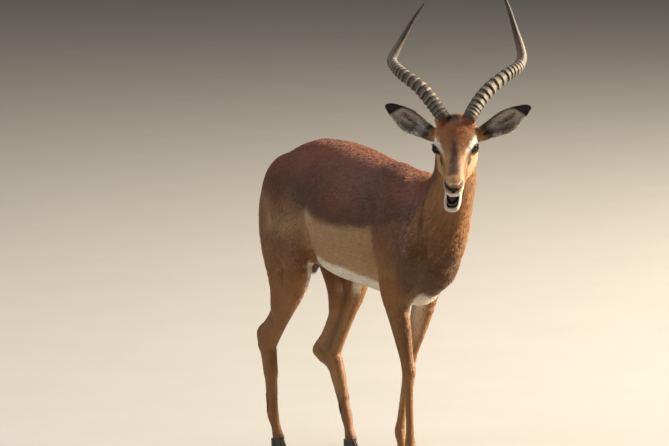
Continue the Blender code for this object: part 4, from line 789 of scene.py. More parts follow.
def ear_tubes(sg, skin=0.0):
    """Outer body and the hollow of one ear, in the head frame. skin thins the shell."""
    e = EARS[sg]
    a, b = hv(*e["foot"]), hv(*e["tip"])
    d = b - a
    L = np.linalg.norm(d)
    t = d / L
    face = hv(*e["face"])
    face = unit(face - (face @ t) * t)
    side = np.cross(t, face)              # S x T = U, so U = face
    rows, cut = [], []
    low = lambda k: side * sg * float(np.interp(k, *EAR_LOW))
    shapes = (
        (0.00, 0.0180, 0.0160, 0.000), (0.10, 0.0205, 0.0180, -0.002), (0.22, 0.0236, 0.0205, -0.004), (0.36, 0.0290, 0.0210, -0.005),
        (0.52, 0.0333, 0.0185, -0.005), (0.68, 0.0292, 0.0145, -0.003), (0.82, 0.0212, 0.0100, 0.000), (0.93, 0.0137, 0.0062, 0.003), (0.985, 0.0074, 0.0042, 0.005),
    )
    for k, w, back, bow in shapes:
        p = a + d * k + face * bow + low(k)
        rows.append(list(p) + [w - skin, (0.0150 if k < 0.05 else 0.012 if k < 0.15 else 0.0035) - skin, back - skin, 2.0, 2.0])
    th = 0.0034 - 2 * skin
    for k, w, back, bow in ((0.15, 0.0140, 0.0060, -0.001), (0.24, 0.0192, 0.0150, -0.003)) + shapes[3:8]:
        p = a + d * k + face * bow + low(k)
        t2 = th + 0.0030 * max(0.0, k - 0.6) / 0.33
        cut.append(list(p) + [w - skin - t2, 0.050, max(back - skin - t2, 0.0008), 2.0, 2.0])
    return Tube(rows, side=side, n=34, cap=(1.0, 0.8)), Tube(cut, side=side, n=30, cap=(0.8, 0.5))


def ears(shape, skin=0.0):
    for sg in (-1, 1):
        out, hollow = ear_tubes(sg, skin)
        shape.add(out, k=0.008, frame=HEAD)
        shape.cut(hollow, k=0.002, frame=HEAD)


# horns, in the head: x, forward, up, radius
HORNS = {
    -1: [
        (-0.0343, 0.0320, 0.0636, 0.0208), (-0.0672, -0.0174, 0.0800, 0.0203), (-0.0987, -0.0605, 0.0909, 0.0195),
        (-0.1404, -0.1110, 0.0890, 0.0176), (-0.1694, -0.1512, 0.0851, 0.0162), (-0.1844, -0.1799, 0.0910, 0.0143),
        (-0.1721, -0.2066, 0.1084, 0.0118), (-0.1484, -0.2345, 0.1377, 0.0084), (-0.1200, -0.2570, 0.1790, 0.0055), (-0.0883, -0.2706, 0.2230, 0.0017),
    ],
    1: [
        (0.0400, 0.0329, 0.0624, 0.0207), (0.0640, -0.0184, 0.0738, 0.0202), (0.0969, -0.0718, 0.0795, 0.0195),
        (0.1392, -0.1301, 0.0745, 0.0176), (0.1691, -0.1704, 0.0675, 0.0162), (0.1790, -0.2014, 0.0738, 0.0145),
        (0.1729, -0.2311, 0.0964, 0.0120), (0.1597, -0.2619, 0.1324, 0.0088), (0.1474, -0.2859, 0.1741, 0.0064), (0.1354, -0.3004, 0.2100, 0.0043), (0.1270, -0.3147, 0.2483, 0.0017),
    ],
}


def whole(with_ears=True, with_tail=True, sockets=True):
    s = Shape()
    body(s, with_tail)
    head(s, sockets)
    if with_ears:
        ears(s)
    return s


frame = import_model()
_t0 = time.time()


def say(*a):
    print("%.1f s" % (time.time() - _t0), *a)


RNG = np.random.default_rng(11)


# ---- regions and the lie of the coat ------------------------------------------------------

SKULL_BACK = (head_point(0, -0.004, 0.04), None)
_poll, _throat = head_point(0, -0.004, 0.04), head_point(0, 0.030, -0.100)
_n = unit(np.cross(HEAD[1][0], _throat - _poll))
if _n @ (head_point(0, 0.2, 0) - _poll) < 0:
    _n = -_n
UNDER_JAW = (head_point(0, 0.030, -0.116), unit(np.array([0, -0.255, 0.967]) @ HEAD[1]))
NECK_PLANE = (np.array([0, -0.268, 0.86]), unit(np.array([0, -0.797, 0.604])))

LABELS = ["head", "neck", "trunk", "tail", "foreleg_right", "foreleg_left", "hindleg_right", "hindleg_left", "ear_right", "ear_left"]
L_HEAD, L_NECK, L_TRUNK, L_TAIL, L_FR, L_FL, L_HR, L_HL, L_ER, L_EL = range(10)

EAR_OUT = {sg: ear_tubes(sg)[0] for sg in (-1, 1)}
_tail_shape = Shape()
tail(_tail_shape)
TAIL_TUBE = _tail_shape.steps[0][1]


def to_head(p):
    q = (p - HEAD[0]) @ HEAD[1].T
    return q[:, 0], -q[:, 1], q[:, 2]


def labels(p):
    lab = np.full(len(p), L_TRUNK)
    x, y, z = p.T
    for sg, lf, lh in ((-1, L_FR, L_HR), (1, L_FL, L_HL)):
        s = sg * x
        fore = (s > 0.004) & (0.74 * (s - 0.022) - 0.67 * (z - 0.492) > 0) & (-0.85 * (y + 0.035) - 0.52 * (z - 0.5) > 0) & (z < 0.62)
        fore |= (z < 0.47) & (y < 0.15) & (s > 0)
        hind = (s > 0.002) & (0.50 * (s - 0.016) - 0.866 * (z - 0.578) > 0) & (0.90 * (y - 0.165) - 0.30 * (z - 0.50) > 0)
        lab[fore] = lf
        lab[hind] = lh
    lab[(p - NECK_PLANE[0]) @ NECK_PLANE[1] > 0] = L_NECK
    head_side = ((p - _poll) @ _n > 0) & ((p - UNDER_JAW[0]) @ UNDER_JAW[1] > 0)
    lab[head_side] = L_HEAD
    near_tail = (y > 0.44) & (np.abs(x) < 0.05) & (z > 0.50)
    if near_tail.any():
        i = np.nonzero(near_tail)[0]
        d = TAIL_TUBE.dist(p[i].astype(F4))
        lab[i[d < 0.0015]] = L_TAIL
    q = ((p - HEAD[0]) @ HEAD[1].T).astype(F4)
    for sg, le in ((-1, L_ER), (1, L_EL)):
        i = np.nonzero((sg * q[:, 0] > 0.045) & (q[:, 1] > -0.10) & (q[:, 2] > -0.06))[0]
        if len(i):
            at = EAR_OUT[sg].near(q[i])[0] / (len(EAR_OUT[sg].c) - 1)
            d = EAR_OUT[sg].dist(q[i])
            lab[i[(d < 0.003) & ((at > 0.10) | (sg * q[i, 0] > 0.066))]] = le
    return lab


def guide(pts, n=24):
    s = spline([list(p) + [0.0] for p in pts], n)[:, :3]
    t = np.gradient(s, axis=0)
    return s, t / np.linalg.norm(t, axis=1)[:, None]


GUIDES = [
    (guide([head_point(0, 0.26, -0.02), head_point(0, 0.13, -0.02), head_point(0, 0.02, -0.02)]), 0.040),
    (guide([head_point(0, 0.00, -0.02), (-0.020, -0.372, 0.90), (-0.004, -0.305, 0.79), (0, -0.24, 0.72)]), 0.060),
    (guide([(0, -0.20, 0.74), (0, 0.0, 0.72), (0, 0.25, 0.74), (0, 0.44, 0.77)]), 0.130),
    (guide([(0, 0.44, 0.85), (0, 0.486, 0.822), (0, 0.513, 0.772), (0, 0.523, 0.70), (0, 0.524, 0.62), (0, 0.519, 0.53)]), 0.014),
]
for _sg in (-1, 1):
    B, E, C, F, P = (np.array(v) for v in FORE[_sg])
    GUIDES.append((guide([B + [0, 0.02, 0.08], E, C, F, P, P + [0, -0.01, -0.03]]), 0.040))
    H, S, K, T, F, P = (np.array(v) for v in HIND[_sg])
    GUIDES.append((guide([H + [0, 0, 0.02], S + [0, 0.05, 0], K, F, P, P + [0, -0.01, -0.03]]), 0.055))


def lie(p, n, lab):
    """The way the hair lies at each place, along the surface."""
    total = np.zeros_like(p)
    for (c, t), r in GUIDES:
        best = np.full(len(p), 1e9)
        tan = np.zeros_like(p)
        for i in range(len(c) - 1):
            a, ab = c[i], c[i + 1] - c[i]
            q = p - a
            w = np.clip((q @ ab) / (ab @ ab), 0, 1)
            d = ((q - w[:, None] * ab) ** 2).sum(1)
            m = d < best
            best = np.where(m, d, best)
            tan[m] = t[i] * (1 - w[m, None]) + t[i + 1] * w[m, None]
        total += tan * (1.0 / (best / r**2 + 0.05) ** 2)[:, None]
    trunk = lab == L_TRUNK
    total[trunk] += [0, 0, -0.0]
    f = total / (np.linalg.norm(total, axis=1)[:, None] + 1e-12)
    f[trunk] += [0, 0.1, -0.22]
    for sg, le in ((-1, L_ER), (1, L_EL)):
        m = lab == le
        if m.any():
            a = (EAR_OUT[sg].c[-1] - EAR_OUT[sg].c[0]) @ HEAD[1]
            f[m] = unit(a)
    f -= (f * n).sum(1)[:, None] * n
    return f / (np.linalg.norm(f, axis=1)[:, None] + 1e-9)


# ---- markings -------------------------------------------------------------------------------

def sm(a, b, x):
    t = np.clip((x - a) / (b - a), 0, 1)
    return t * t * (3 - 2 * t)


def rough(p, s):
    """Smooth unevenness from -1 to 1 with waves of about s metres."""
    k = 2 * math.pi / s
    x, y, z = p.T * k
    return (np.sin(x + 1.7 * np.sin(0.7 * y + 2.0)) + np.sin(0.9 * y + 1.3 * np.sin(0.8 * z + 1.0)) + np.sin(1.1 * z + 1.5 * np.sin(0.6 * x + 4.0))) / 3


def seg_dist(p, a, b):
    a, b = np.asarray(a, float), np.asarray(b, float)
    ab = b - a
    w = np.clip((p - a) @ ab / (ab @ ab), 0, 1)
    return np.linalg.norm(p - a - w[:, None] * ab, axis=1), w


SADDLE = (0.108, 0.041, 0.021)
SADDLE_TOP_HIGHLIGHT = (0.165, 0.056, 0.028)
FLANK = (0.370, 0.218, 0.108)
ORANGE = (0.265, 0.116, 0.037)
TAN = (0.330, 0.152, 0.052)
WHITE = (0.700, 0.640, 0.530)
CREAM = (0.560, 0.450, 0.310)
BLACK = (0.010, 0.009, 0.008)
RUFOUS = (0.270, 0.080, 0.019)
STRIPE = (0.080, 0.032, 0.017)
GUM_IN_PAINTED_SHADE = (0.030, 0.012, 0.011)
EAR_GREY = (0.480, 0.435, 0.410)


def paint(c, colour, m):
    c += (np.asarray(colour) - c) * m[:, None]


def markings(p, n, lab):
    """Colour and wetness at each place on the skin."""
    N = len(p)
    x, y, z = p.T
    r1, r2, r3 = rough(p, 0.09), rough(p, 0.023), rough(p, 0.008)
    ragged = 0.006 * r1 + 0.003 * r2 + 0.002 * r3
    c = np.tile(np.array(ORANGE), (N, 1))
    wet = np.zeros(N)
    # long streaks of lighter and darker hair down the neck and over the point of the shoulder
    run = unit(np.array([0.10, 0.45, -0.85]))
    st = p - 0.86 * (p @ run)[:, None] * run
    s1, s2 = rough(st, 0.011), rough(st, 0.026)
    fore = sm(-0.16, -0.24, y) * ((lab == L_TRUNK) | (lab == L_NECK)) * sm(0.60, 0.68, z)
    # breast darker, partly its own colour and partly painted shade, with the painted shade deepest low on the breast;
    # the neck paler at its sides and redder along the nape
    paint(c, (0.175, 0.072, 0.026), sm(-0.215, -0.26, y) * sm(0.03, -0.05, x - 0.02) * (lab != L_HEAD) * sm(0.84, 0.74, z) * 0.75)
    paint(c, (0.125, 0.052, 0.020), sm(-0.200, -0.26, y) * (lab != L_HEAD) * sm(0.74, 0.62, z) * 0.75)
    paint(c, (0.075, 0.032, 0.014), sm(0.71, 0.62, z) * sm(-0.215, -0.27, y) * (lab != L_HEAD) * 0.55)
    paint(c, (0.250, 0.100, 0.034), sm(0.2, 0.9, n[:, 1]) * (lab == L_NECK) * 0.8)
    # flank
    fl = sm(-0.118, -0.088, y + ragged) * sm(0.40, 0.24, y + 0.3 * (0.62 - z)) * (lab == L_TRUNK)
    paint(c, FLANK, fl)
    # haunch and thigh
    th = ((lab == L_TRUNK) * sm(0.215, 0.245, y) + (lab == L_HR) + (lab == L_HL)) > 0.5
    paint(c, (0.200, 0.090, 0.036), ((lab == L_TRUNK) * sm(0.200, 0.245, y) + (lab == L_HR) + (lab == L_HL)) * sm(0.53, 0.63, z) * 0.9)
    paint(c, (0.340, 0.205, 0.095), (lab == L_TRUNK) * sm(0.205, 0.25, y) * np.exp(-((z - 0.690) / 0.030) ** 2) * sm(0.44, 0.38, y) * 0.65)
    # saddle: sharp along the flank, melting into the haunch
    zs = np.interp(y, [-0.33, -0.27, -0.20, -0.12, -0.093, -0.058, 0.013, 0.094, 0.161, 0.219, 0.259, 0.301, 0.359, 0.45, 0.52], [0.80, 0.760, 0.742, 0.727, 0.720, 0.714, 0.711, 0.714, 0.722, 0.730, 0.733, 0.731, 0.730, 0.740, 0.77])
    soft = 1 + 2.2 * sm(0.19, 0.28, y)
    ye = np.interp(z, [0.62, 0.67, 0.71, 0.76, 0.80, 0.82, 0.85, 0.88, 0.92], [-0.262, -0.276, -0.281, -0.277, -0.287, -0.297, -0.325, -0.357, -0.39])
    on = ((lab == L_TRUNK) | (lab == L_NECK)) * sm(0.53, 0.49, y)
    front = sm(-0.022, 0.022, y - ye + 1.5 * ragged + 0.012 * s1)
    sad = sm(-0.014, 0.016, (z - zs + ragged) / soft - 0.006 * (soft - 1)) * front * on
    # shoulder: the saddle's brown runs on down it and fades above the elbow
    sh = sm(-0.088, -0.108, y + 0.5 * ragged) * sm(0.575, 0.700, z + 2 * ragged) * front * ((lab == L_TRUNK) | (lab == L_NECK) | (lab == L_FR) | (lab == L_FL))
    paint(c, (0.150, 0.059, 0.029), sh * 0.92)
    paint(c, SADDLE, sad)
    paint(c, (0.084, 0.032, 0.016), sad * sm(0.845, 0.785, z) * 0.75)
    # painted highlight: the saddle paler and redder along the top of the back
    paint(c, SADDLE_TOP_HIGHLIGHT, sad * sm(0.80, 0.92, z))
    # painted highlights: redder where the coat catches the light, over the ribs and before the shoulder blade; painted
    # shade in darker patches behind the top of the shoulder blade and over the haunch
    paint(c, (0.190, 0.058, 0.024), sad * (0.55 * np.exp(-(((y - 0.02) / 0.09) ** 2 + ((z - 0.80) / 0.05) ** 2)) + 0.75 * np.exp(-(((y + 0.235) / 0.06) ** 2 + ((z - 0.835) / 0.045) ** 2))))
    paint(c, (0.060, 0.024, 0.013), sad * (0.35 * np.exp(-(((y + 0.10) / 0.035) ** 2 + ((z - 0.85) / 0.05) ** 2)) + 0.25 * np.exp(-(((y - 0.23) / 0.06) ** 2 + ((z - 0.80) / 0.05) ** 2))))
    paint(c, (0.330, 0.175, 0.072), fore * (1 - 0.75 * sad) * 0.50 * sm(0.10, 0.9, s1 + 0.5 * s2))
    paint(c, (0.120, 0.050, 0.022), fore * (1 - sad) * 0.45 * sm(0.10, 0.9, -s1 - 0.5 * s2))
    # pale spot at the top of the flank fold
    spot = np.exp(-(((y - 0.190) / 0.020) ** 2 + ((z - 0.726) / 0.016) ** 2))
    paint(c, CREAM, spot * 0.55 * (lab == L_TRUNK) * (np.abs(x) > 0.05))
    # painted shade: a dark streak down the flank fold below the pale spot
    fold_shade = np.exp(-(((y - 0.203 - 0.10 * (0.70 - z)) / 0.0075) ** 2 + ((z - 0.672) / 0.030) ** 2))
    paint(c, (0.085, 0.040, 0.020), fold_shade * 0.62 * (lab == L_TRUNK) * (np.abs(x) > 0.05))
    # belly
    zb = np.interp(y, [-0.25, -0.20, -0.12, 0.0, 0.11, 0.216, 0.30, 0.36], [0.515, 0.528, 0.553, 0.578, 0.592, 0.612, 0.640, 0.66])
    bel = sm(0.006, -0.008, z - zb + 0.7 * ragged) * (lab == L_TRUNK) * sm(-0.235, -0.20, y)
    bel *= 1 - sm(0.24, 0.32, y) * sm(0.085, 0.11, np.abs(x))
    paint(c, WHITE, bel)
    # chest between the fore legs
    ch = sm(0.052, 0.034, np.abs(x) + 0.4 * ragged) * sm(0.550, 0.528, z + ragged) * sm(-0.285, -0.25, y) * sm(-0.10, -0.14, y)
    paint(c, WHITE, ch * (lab != L_HEAD) * (lab != L_NECK))
    # scrotum
    sc = np.sqrt((x / 0.034) ** 2 + ((y - 0.345) / 0.042) ** 2 + ((z - 0.560) / 0.052) ** 2)
    paint(c, (0.085, 0.055, 0.040), sm(1.10, 0.85, sc + 0.10 * r2) * (lab == L_TRUNK) * 0.8)
    # legs
    for sg, lf, lh in ((-1, L_FR, L_HR), (1, L_FL, L_HL)):
        inner = sm(0.25, 0.75, -sg * n[:, 0] + 0.25 * r2)
        f = lab == lf
        h = lab == lh
        paint(c, TAN, f * sm(0.46, 0.30, z) * 0.75)
        paint(c, WHITE, f * inner * sm(0.495, 0.535, z + ragged))
        paint(c, (0.44, 0.26, 0.12), f * inner * sm(0.12, 0.2, z) * sm(0.53, 0.46, z) * 0.55)
        paint(c, (0.250, 0.112, 0.039), h * sm(0.50, 0.36, z) * 0.70)
        front_in = sm(0.35, 0.75, -sg * n[:, 0] * 0.75 - n[:, 1] * 0.55 + 0.2 * r2)
        edge = sm(0.25, 0.70, -n[:, 1]) * sm(0.05, 0.55, -sg * n[:, 0] + 0.2 * r2)
        paint(c, WHITE, h * np.maximum(edge * sm(0.455, 0.50, z), front_in * sm(0.535, 0.580, z + ragged)))
        paint(c, (0.45, 0.27, 0.125), h * inner * sm(0.12, 0.2, z) * sm(0.54, 0.40, z) * 0.55)
        # dark gland above the hind fetlock
        H, S, K, T, F, P = HIND[sg]
        g, _ = seg_dist(p, (F[0], F[1] + 0.016, 0.128), (F[0], F[1] + 0.018, 0.168))
        paint(c, BLACK, h * sm(0.0205, 0.0150, g + 0.4 * ragged) * sm(-0.2, 0.15, n[:, 1]))
        # painted shade down the fronts of the shins, and darker pasterns
        paint(c, (0.22, 0.10, 0.045), (f | h) * sm(0.3, 0.8, -n[:, 1]) * sm(0.40, 0.32, z) * sm(0.06, 0.12, z) * 0.35)
        paint(c, (0.10, 0.055, 0.03), (f | h) * sm(0.060, 0.042, z) * 0.7)
    # rump: white under the tail with a black stripe down each side
    rear = sm(0.15, 0.55, n[:, 1]) * sm(0.40, 0.44, y)
    rump = ((lab == L_TRUNK) | (lab == L_HR) | (lab == L_HL))
    inside = sm(0.066, 0.052, np.abs(x) + 0.5 * ragged) * sm(0.825, 0.790, z) * sm(0.545, 0.600, z + ragged)
    paint(c, WHITE, rump * rear * inside)
    xs_ = np.interp(z, [0.58, 0.68, 0.80], [0.070, 0.066, 0.050])
    line = sm(0.0100, 0.0055, np.abs(np.abs(x) - xs_ + 0.25 * ragged)) * sm(0.585, 0.63, z) * sm(0.825, 0.80, z)
    paint(c, BLACK, rump * sm(-0.05, 0.25, n[:, 1]) * sm(0.37, 0.41, y) * line)
    # tail: black down the back of it, white beneath and at the tuft
    t = lab == L_TAIL
    paint(c, WHITE, t * 1.0)
    paint(c, (0.26, 0.12, 0.05), t * sm(0.78, 0.82, z))
    paint(c, BLACK, t * sm(0.25, 0.7, n[:, 1]) * sm(0.0095, 0.0060, np.abs(x)) * sm(0.545, 0.575, z) * sm(0.84, 0.81, z))

    # ---- head, in its own axes
    hx, f, hz = to_head(p)
    nh = n @ HEAD[1].T
    q = np.stack([hx, f, hz], 1)
    ax = np.abs(hx)
    H = lab == L_HEAD
    wob = 0.0022 * r2 + 0.0014 * r3
    paint(c, (0.400, 0.200, 0.080), H * 1.0)
    # cheeks paler, jaw and throat cream
    paint(c, (0.50, 0.29, 0.130), H * sm(0.03, -0.03, hz) * sm(0.03, 0.07, f) * 0.6)
    paint(c, CREAM, H * sm(0.2, 0.8, -nh[:, 2]) * sm(-0.050, -0.075, hz + wob) * sm(0.19, 0.12, f) * 0.7)
    # forehead
    fore = sm(0.165, 0.110, f + 1.2 * wob) * sm(0.010, 0.026, hz) * sm(0.005, -0.006, ax + wob - np.interp(f, [0.0, 0.09, 0.125, 0.160], [0.055, 0.045, 0.036, 0.026]))
    paint(c, (0.330, 0.125, 0.036), H * fore)
    paint(c, RUFOUS, H * fore * sm(0.125, 0.09, f) * 0.6)
    paint(c, (0.15, 0.055, 0.024), (H | (lab == L_NECK)) * sm(0.030, 0.0, f) * sm(0.0, 0.02, hz) * 0.7)
    paint(c, BLACK, H * sm(0.0135, 0.0085, ax + wob) * sm(0.010, 0.018, f) * sm(0.056, 0.046, f + wob) * sm(0.015, 0.03, hz))
    # darker streaks on the brow
    streak = np.sin(ax * 700 + 5 * r3 + 40 * f) * 0.5 + 0.5
    paint(c, (0.10, 0.036, 0.018), H * fore * 0.55 * sm(0.55, 0.95, streak) * sm(0.040, 0.032, ax) * sm(0.03, 0.05, f) * (0.5 + 0.5 * np.clip(r2 * 2, -1, 1)))
    # bridge of the nose: dark and mauve, soft at its edges, starting as a point on the brow
    w = np.interp(f, [0.105, 0.128, 0.142, 0.161, 0.180, 0.204, 0.224], [0.0050, 0.0090, 0.0108, 0.0127, 0.0135, 0.0155, 0.0168])
    br = sm(0.0050, -0.0040, ax - w + 1.2 * wob) * sm(0.100, 0.128, f) * sm(0.2310, 0.2255, f + 0.7 * wob) * sm(0.30, 0.55, nh[:, 2])
    paint(c, (0.185, 0.085, 0.052), H * br * 0.85)
    br2 = sm(0.0040, -0.0050, ax - 0.66 * w + 1.5 * wob) * sm(0.100, 0.132, f) * sm(0.2285, 0.2180, f + wob) * sm(0.35, 0.6, nh[:, 2])
    paint(c, STRIPE, H * br2 * 0.85)
    for sg in (-1, 1):
        # white over the eye, running down beside the bridge as a pale line
        path = [((0.0620, 0.066, 0.020), 0.0050), ((0.0595, 0.084, 0.0290), 0.0090), ((0.0540, 0.1000, 0.0325), 0.0090), ((0.0425, 0.1215, 0.0322), 0.0058), ((0.0337, 0.139, 0.0288), 0.0043), ((0.0293, 0.153, 0.0228), 0.0038), ((0.0275, 0.175, 0.0200), 0.0030)]
        best = np.full(len(p), 9.0)
        for i_, ((a_, ra), (b_, rb)) in enumerate(zip(path[:-1], path[1:])):
            d, u = seg_dist(q, (sg * a_[0], a_[1], a_[2]), (sg * b_[0], b_[1], b_[2]))
            best = np.minimum(best, (d + wob * 0.8) / (ra * (1 - u) + rb * u))
        paint(c, WHITE, H * sm(1.25, 0.80, best) * sm(0.165, 0.125, f))
        paint(c, (0.56, 0.36, 0.17), H * sm(1.30, 0.90, best) * sm(0.13, 0.155, f) * 0.55)
        # dark fold from the inner corner of the eye down between cheek and muzzle: partly dark hair and partly painted
        # shade, darkest as painted shade low down
        path = [((0.0450, 0.1270, 0.018), 0.0056), ((0.0410, 0.1350, 0.009), 0.0080), ((0.0390, 0.1385, -0.002), 0.0092), ((0.0372, 0.1440, -0.014), 0.0098), ((0.0355, 0.1500, -0.026), 0.0092), ((0.0330, 0.1600, -0.036), 0.0074), ((0.0290, 0.178, -0.040), 0.0050)]
        best = np.full(len(p), 9.0)
        for i_, ((a_, ra), (b_, rb)) in enumerate(zip(path[:-1], path[1:])):
            d, u = seg_dist(q, (sg * a_[0], a_[1], a_[2]), (sg * b_[0], b_[1], b_[2]))
            best = np.minimum(best, (d + wob) / (ra * (1 - u) + rb * u))
        paint(c, (0.105, 0.038, 0.017), H * sm(1.7, 0.7, best) * 0.88)
        paint(c, (0.034, 0.014, 0.010), H * sm(1.05, 0.30, best) * sm(-0.065, -0.030, hz) * 0.90)
        # painted shade along each side of the muzzle, from near the eye to just short of the nose pad
        path = [((0.0385, 0.1330, 0.0175), 0.0034), ((0.0362, 0.1430, 0.0165), 0.0046), ((0.0350, 0.1510, 0.0145), 0.0056), ((0.0330, 0.1620, 0.0115), 0.0062), ((0.0318, 0.1720, 0.0080), 0.0066), ((0.0300, 0.1840, 0.0080), 0.0064), ((0.0290, 0.1980, 0.0070), 0.0056), ((0.0285, 0.2130, 0.0050), 0.0040)]
        best = np.full(len(p), 9.0)
        for i_, ((a_, ra), (b_, rb)) in enumerate(zip(path[:-1], path[1:])):
            d, u = seg_dist(q, (sg * a_[0], a_[1], a_[2]), (sg * b_[0], b_[1], b_[2]))
            best = np.minimum(best, (d + wob) / (ra * (1 - u) + rb * u))
        paint(c, (0.120, 0.048, 0.022), H * sm(1.5, 0.6, best) * sm(0.222, 0.200, f) * 0.80)
        # pale below the eye
        d, u = seg_dist(q, (sg * 0.058, 0.085, -0.014), (sg * 0.049, 0.122, -0.010))
        paint(c, (0.56, 0.38, 0.21), H * sm(0.013, 0.005, d + wob) * 0.6)
        # black rim of the lids
        e = np.array([sg * EYE[0], -EYE[1], EYE[2]])
        look = unit([sg * EYE_LOOK[0], EYE_LOOK[1], EYE_LOOK[2]])
        axm = lid_axes(sg, look)
        g = (np.stack([hx, -f, hz], 1) - e) @ axm.T
        gu = g[:, 2] + 0.0008
        al = np.sqrt((g[:, 0] / 0.0160) ** 2 + (gu / 0.0078) ** 2)
        near = (g[:, 1] > 0.002)
        paint(c, BLACK, H * near * sm(1.55, 1.28, al + 25 * wob - 0.14 * sm(0, 0.004, gu)))
        tear = np.sqrt(((g[:, 0] - 0.0190) / 0.0105) ** 2 + ((gu + 0.002) / 0.0042) ** 2)
        paint(c, BLACK, H * near * sm(1.5, 0.9, tear))
        corner = np.sqrt(((g[:, 0] + 0.0185) / 0.0090) ** 2 + ((gu - 0.002) / 0.0038) ** 2)
        paint(c, BLACK, H * near * sm(1.5, 0.9, corner))
        wet = np.maximum(wet, H * near * sm(1.16, 1.04, al))
    # muzzle: tan pad over the nostrils, white lips, black nostrils that meet over the philtrum
    paint(c, (0.47, 0.27, 0.125), H * sm(0.2255, 0.2315, f) * sm(-0.010, 0.000, hz))
    paint(c, (0.24, 0.10, 0.05), H * sm(0.2285, 0.2340, f) * sm(0.0055, 0.0020, ax) * 0.55)
    lip = sm(0.226, 0.242, f + wob) * sm(0.003, -0.003, hz + 0.5 * wob - 0.02 * np.clip(f - 0.262, -1, 1))
    lip = np.maximum(lip, sm(0.196, 0.220, f) * sm(-0.016, -0.022, hz + wob))
    paint(c, WHITE, H * lip)
    rows = NOSTRIL
    best = np.full(len(p), 9.0)
    for r0_, r1_ in zip(rows[:-1], rows[1:]):
        for sg in (-1, 1):
            d, u = seg_dist(q, (sg * r0_[0], r0_[1], r0_[2]), (sg * r1_[0], r1_[1], r1_[2]))
            best = np.minimum(best, d / (0.0013 + 1.02 * ((r0_[3] + r0_[4]) * (1 - u) + (r1_[3] + r1_[4]) * u) * 0.5))
    d, u = seg_dist(q, (0, 0.2715, 0.0110), (0, 0.273, 0.003))
    best = np.minimum(best, d / 0.0046)
    m = H * sm(1.28, 1.02, best)
    paint(c, BLACK, m)
    wet = np.maximum(wet, 0.45 * m)
    d, u = seg_dist(q, (0, 0.273, 0.004), (0, 0.268, -0.026))
    m = H * sm(0.0040, 0.0026, d + 0.5 * wob)
    paint(c, BLACK, m)
    wet = np.maximum(wet, 0.5 * m)
    # lower lip and chin
    jf, jz = 0.045, -0.022
    cj, sj = math.cos(JAW), math.sin(JAW)
    qf = jf + (f - jf) * cj - (hz - jz) * sj
    qz = jz + (f - jf) * sj + (hz - jz) * cj
    qx = hx + 0.070 * (qf - jf)
    jaw = (qz < -0.030) & (hz < -0.040 - 0.10 * np.clip(f - 0.15, 0, 1))
    paint(c, WHITE, H * jaw * sm(0.165, 0.188, qf + wob))
    # inside of the mouth: a dark gum colour deepened as painted shade, with black painted shade round the inside of the
    # opening; wet
    inm = H & (f > 0.165)
    if inm.any():
        i = np.nonzero(inm)[0]
        loc = np.stack([hx[i], -f[i], hz[i]], 1).astype(F4)
        d = np.minimum.reduce([t_.dist(loc) for t_ in MOUTH_TUBES])
        m = sm(0.0016, 0.0004, d)
        cc = c[i]
        paint(cc, GUM_IN_PAINTED_SHADE, m)
        c[i] = cc
        wet[i] = np.maximum(wet[i], m)
        m2 = sm(0.0038, 0.0024, d) * (1 - m) * 0.85
        cc = c[i]
        paint(cc, BLACK, m2 * (f[i] > 0.19))
        c[i] = cc
    # ---- ears
    for sg, le in ((-1, L_ER), (1, L_EL)):
        m = lab == le
        if not m.any():
            continue
        i = np.nonzero(m)[0]
        T = EAR_OUT[sg]
        at, s, u_, t_, rr, ee = T.near(np.stack([hx[i], -f[i], hz[i]], 1).astype(F4))
        k = at / (len(T.c) - 1)
        face = unit(hv(*EARS[sg]["face"]))
        facing = nh[i] @ face
        s = s / rr[:, 0] * (1 if sg < 0 else 1)
        # s runs across the ear; up is the side towards the horn
        upside = (T.s.mean(0)[2] > 0)
        su = s if upside else -s
        cc = np.tile(np.array([0.300, 0.150, 0.068]), (len(i), 1))
        ww = wob[i] * 6
        inside = sm(-0.05, 0.25, facing) * sm(0.10, 0.16, k)
        grey = np.tile(np.array(EAR_GREY), (len(i), 1))
        ray = np.sin(su * 13 / (0.45 + 0.75 * k) + 2.2 * r3[i] + 0.8) * 0.5 + 0.5
        paint(grey, (0.68, 0.65, 0.61), 0.60 * sm(0.45, 0.95, ray) * sm(0.85, 0.5, k))
        mott = 0.45 * r3[i] + 0.35 * r2[i]
        brown = 1.05 * np.exp(-(((k - 0.62) / 0.13) ** 2 + ((su - 0.14) / 0.34) ** 2)) + 0.85 * np.exp(-(((k - 0.44) / 0.10) ** 2 + ((su + 0.05) / 0.26) ** 2)) + 0.7 * np.exp(-(((k - 0.40) / 0.10) ** 2 + ((su - 0.55) / 0.14) ** 2))
        paint(grey, (0.060, 0.032, 0.023), 0.94 * sm(0.28, 0.60, brown + mott * 0.9 - 0.55 * sm(0.35, 0.95, np.sin(su * 21 / (0.5 + 0.6 * k) + 3.0 * r3[i]) * 0.5 + 0.5)))
        low = np.exp(-(((k - 0.48) / 0.15) ** 2 + ((su + 0.66) / 0.17) ** 2))
        paint(grey, (0.024, 0.016, 0.013), 0.96 * sm(0.28, 0.58, low + 0.22 * r3[i]))
        paint(grey, (0.72, 0.69, 0.64), sm(-0.74, -0.90, su) * 0.85 * sm(0.62, 0.70, k))
        paint(grey, (0.032, 0.021, 0.017), sm(0.30, 0.17, k + 0.05 * r3[i]) * 0.95)
        cc += (grey - cc) * inside[:, None]
        rim = sm(0.80, 0.90, su + ww) * sm(0.15, 0.3, k)
        paint(cc, BLACK, rim * sm(-0.25, 0.2, facing))
        paint(cc, (0.58, 0.50, 0.40), sm(0.88, 0.96, -su + ww) * sm(0.10, 0.3, k) * 0.8)
        paint(cc, BLACK, sm(0.775, 0.815, k + 0.25 * ww + 0.05 * su))
        c[i] = cc
    # soft unevenness of the coat everywhere
    v = 1 + 0.06 * r1 + 0.05 * r2 + 0.04 * r3
    return np.clip(c * v[:, None], 0, 1), wet


# ---- making meshes ---------------------------------------------------------------------------

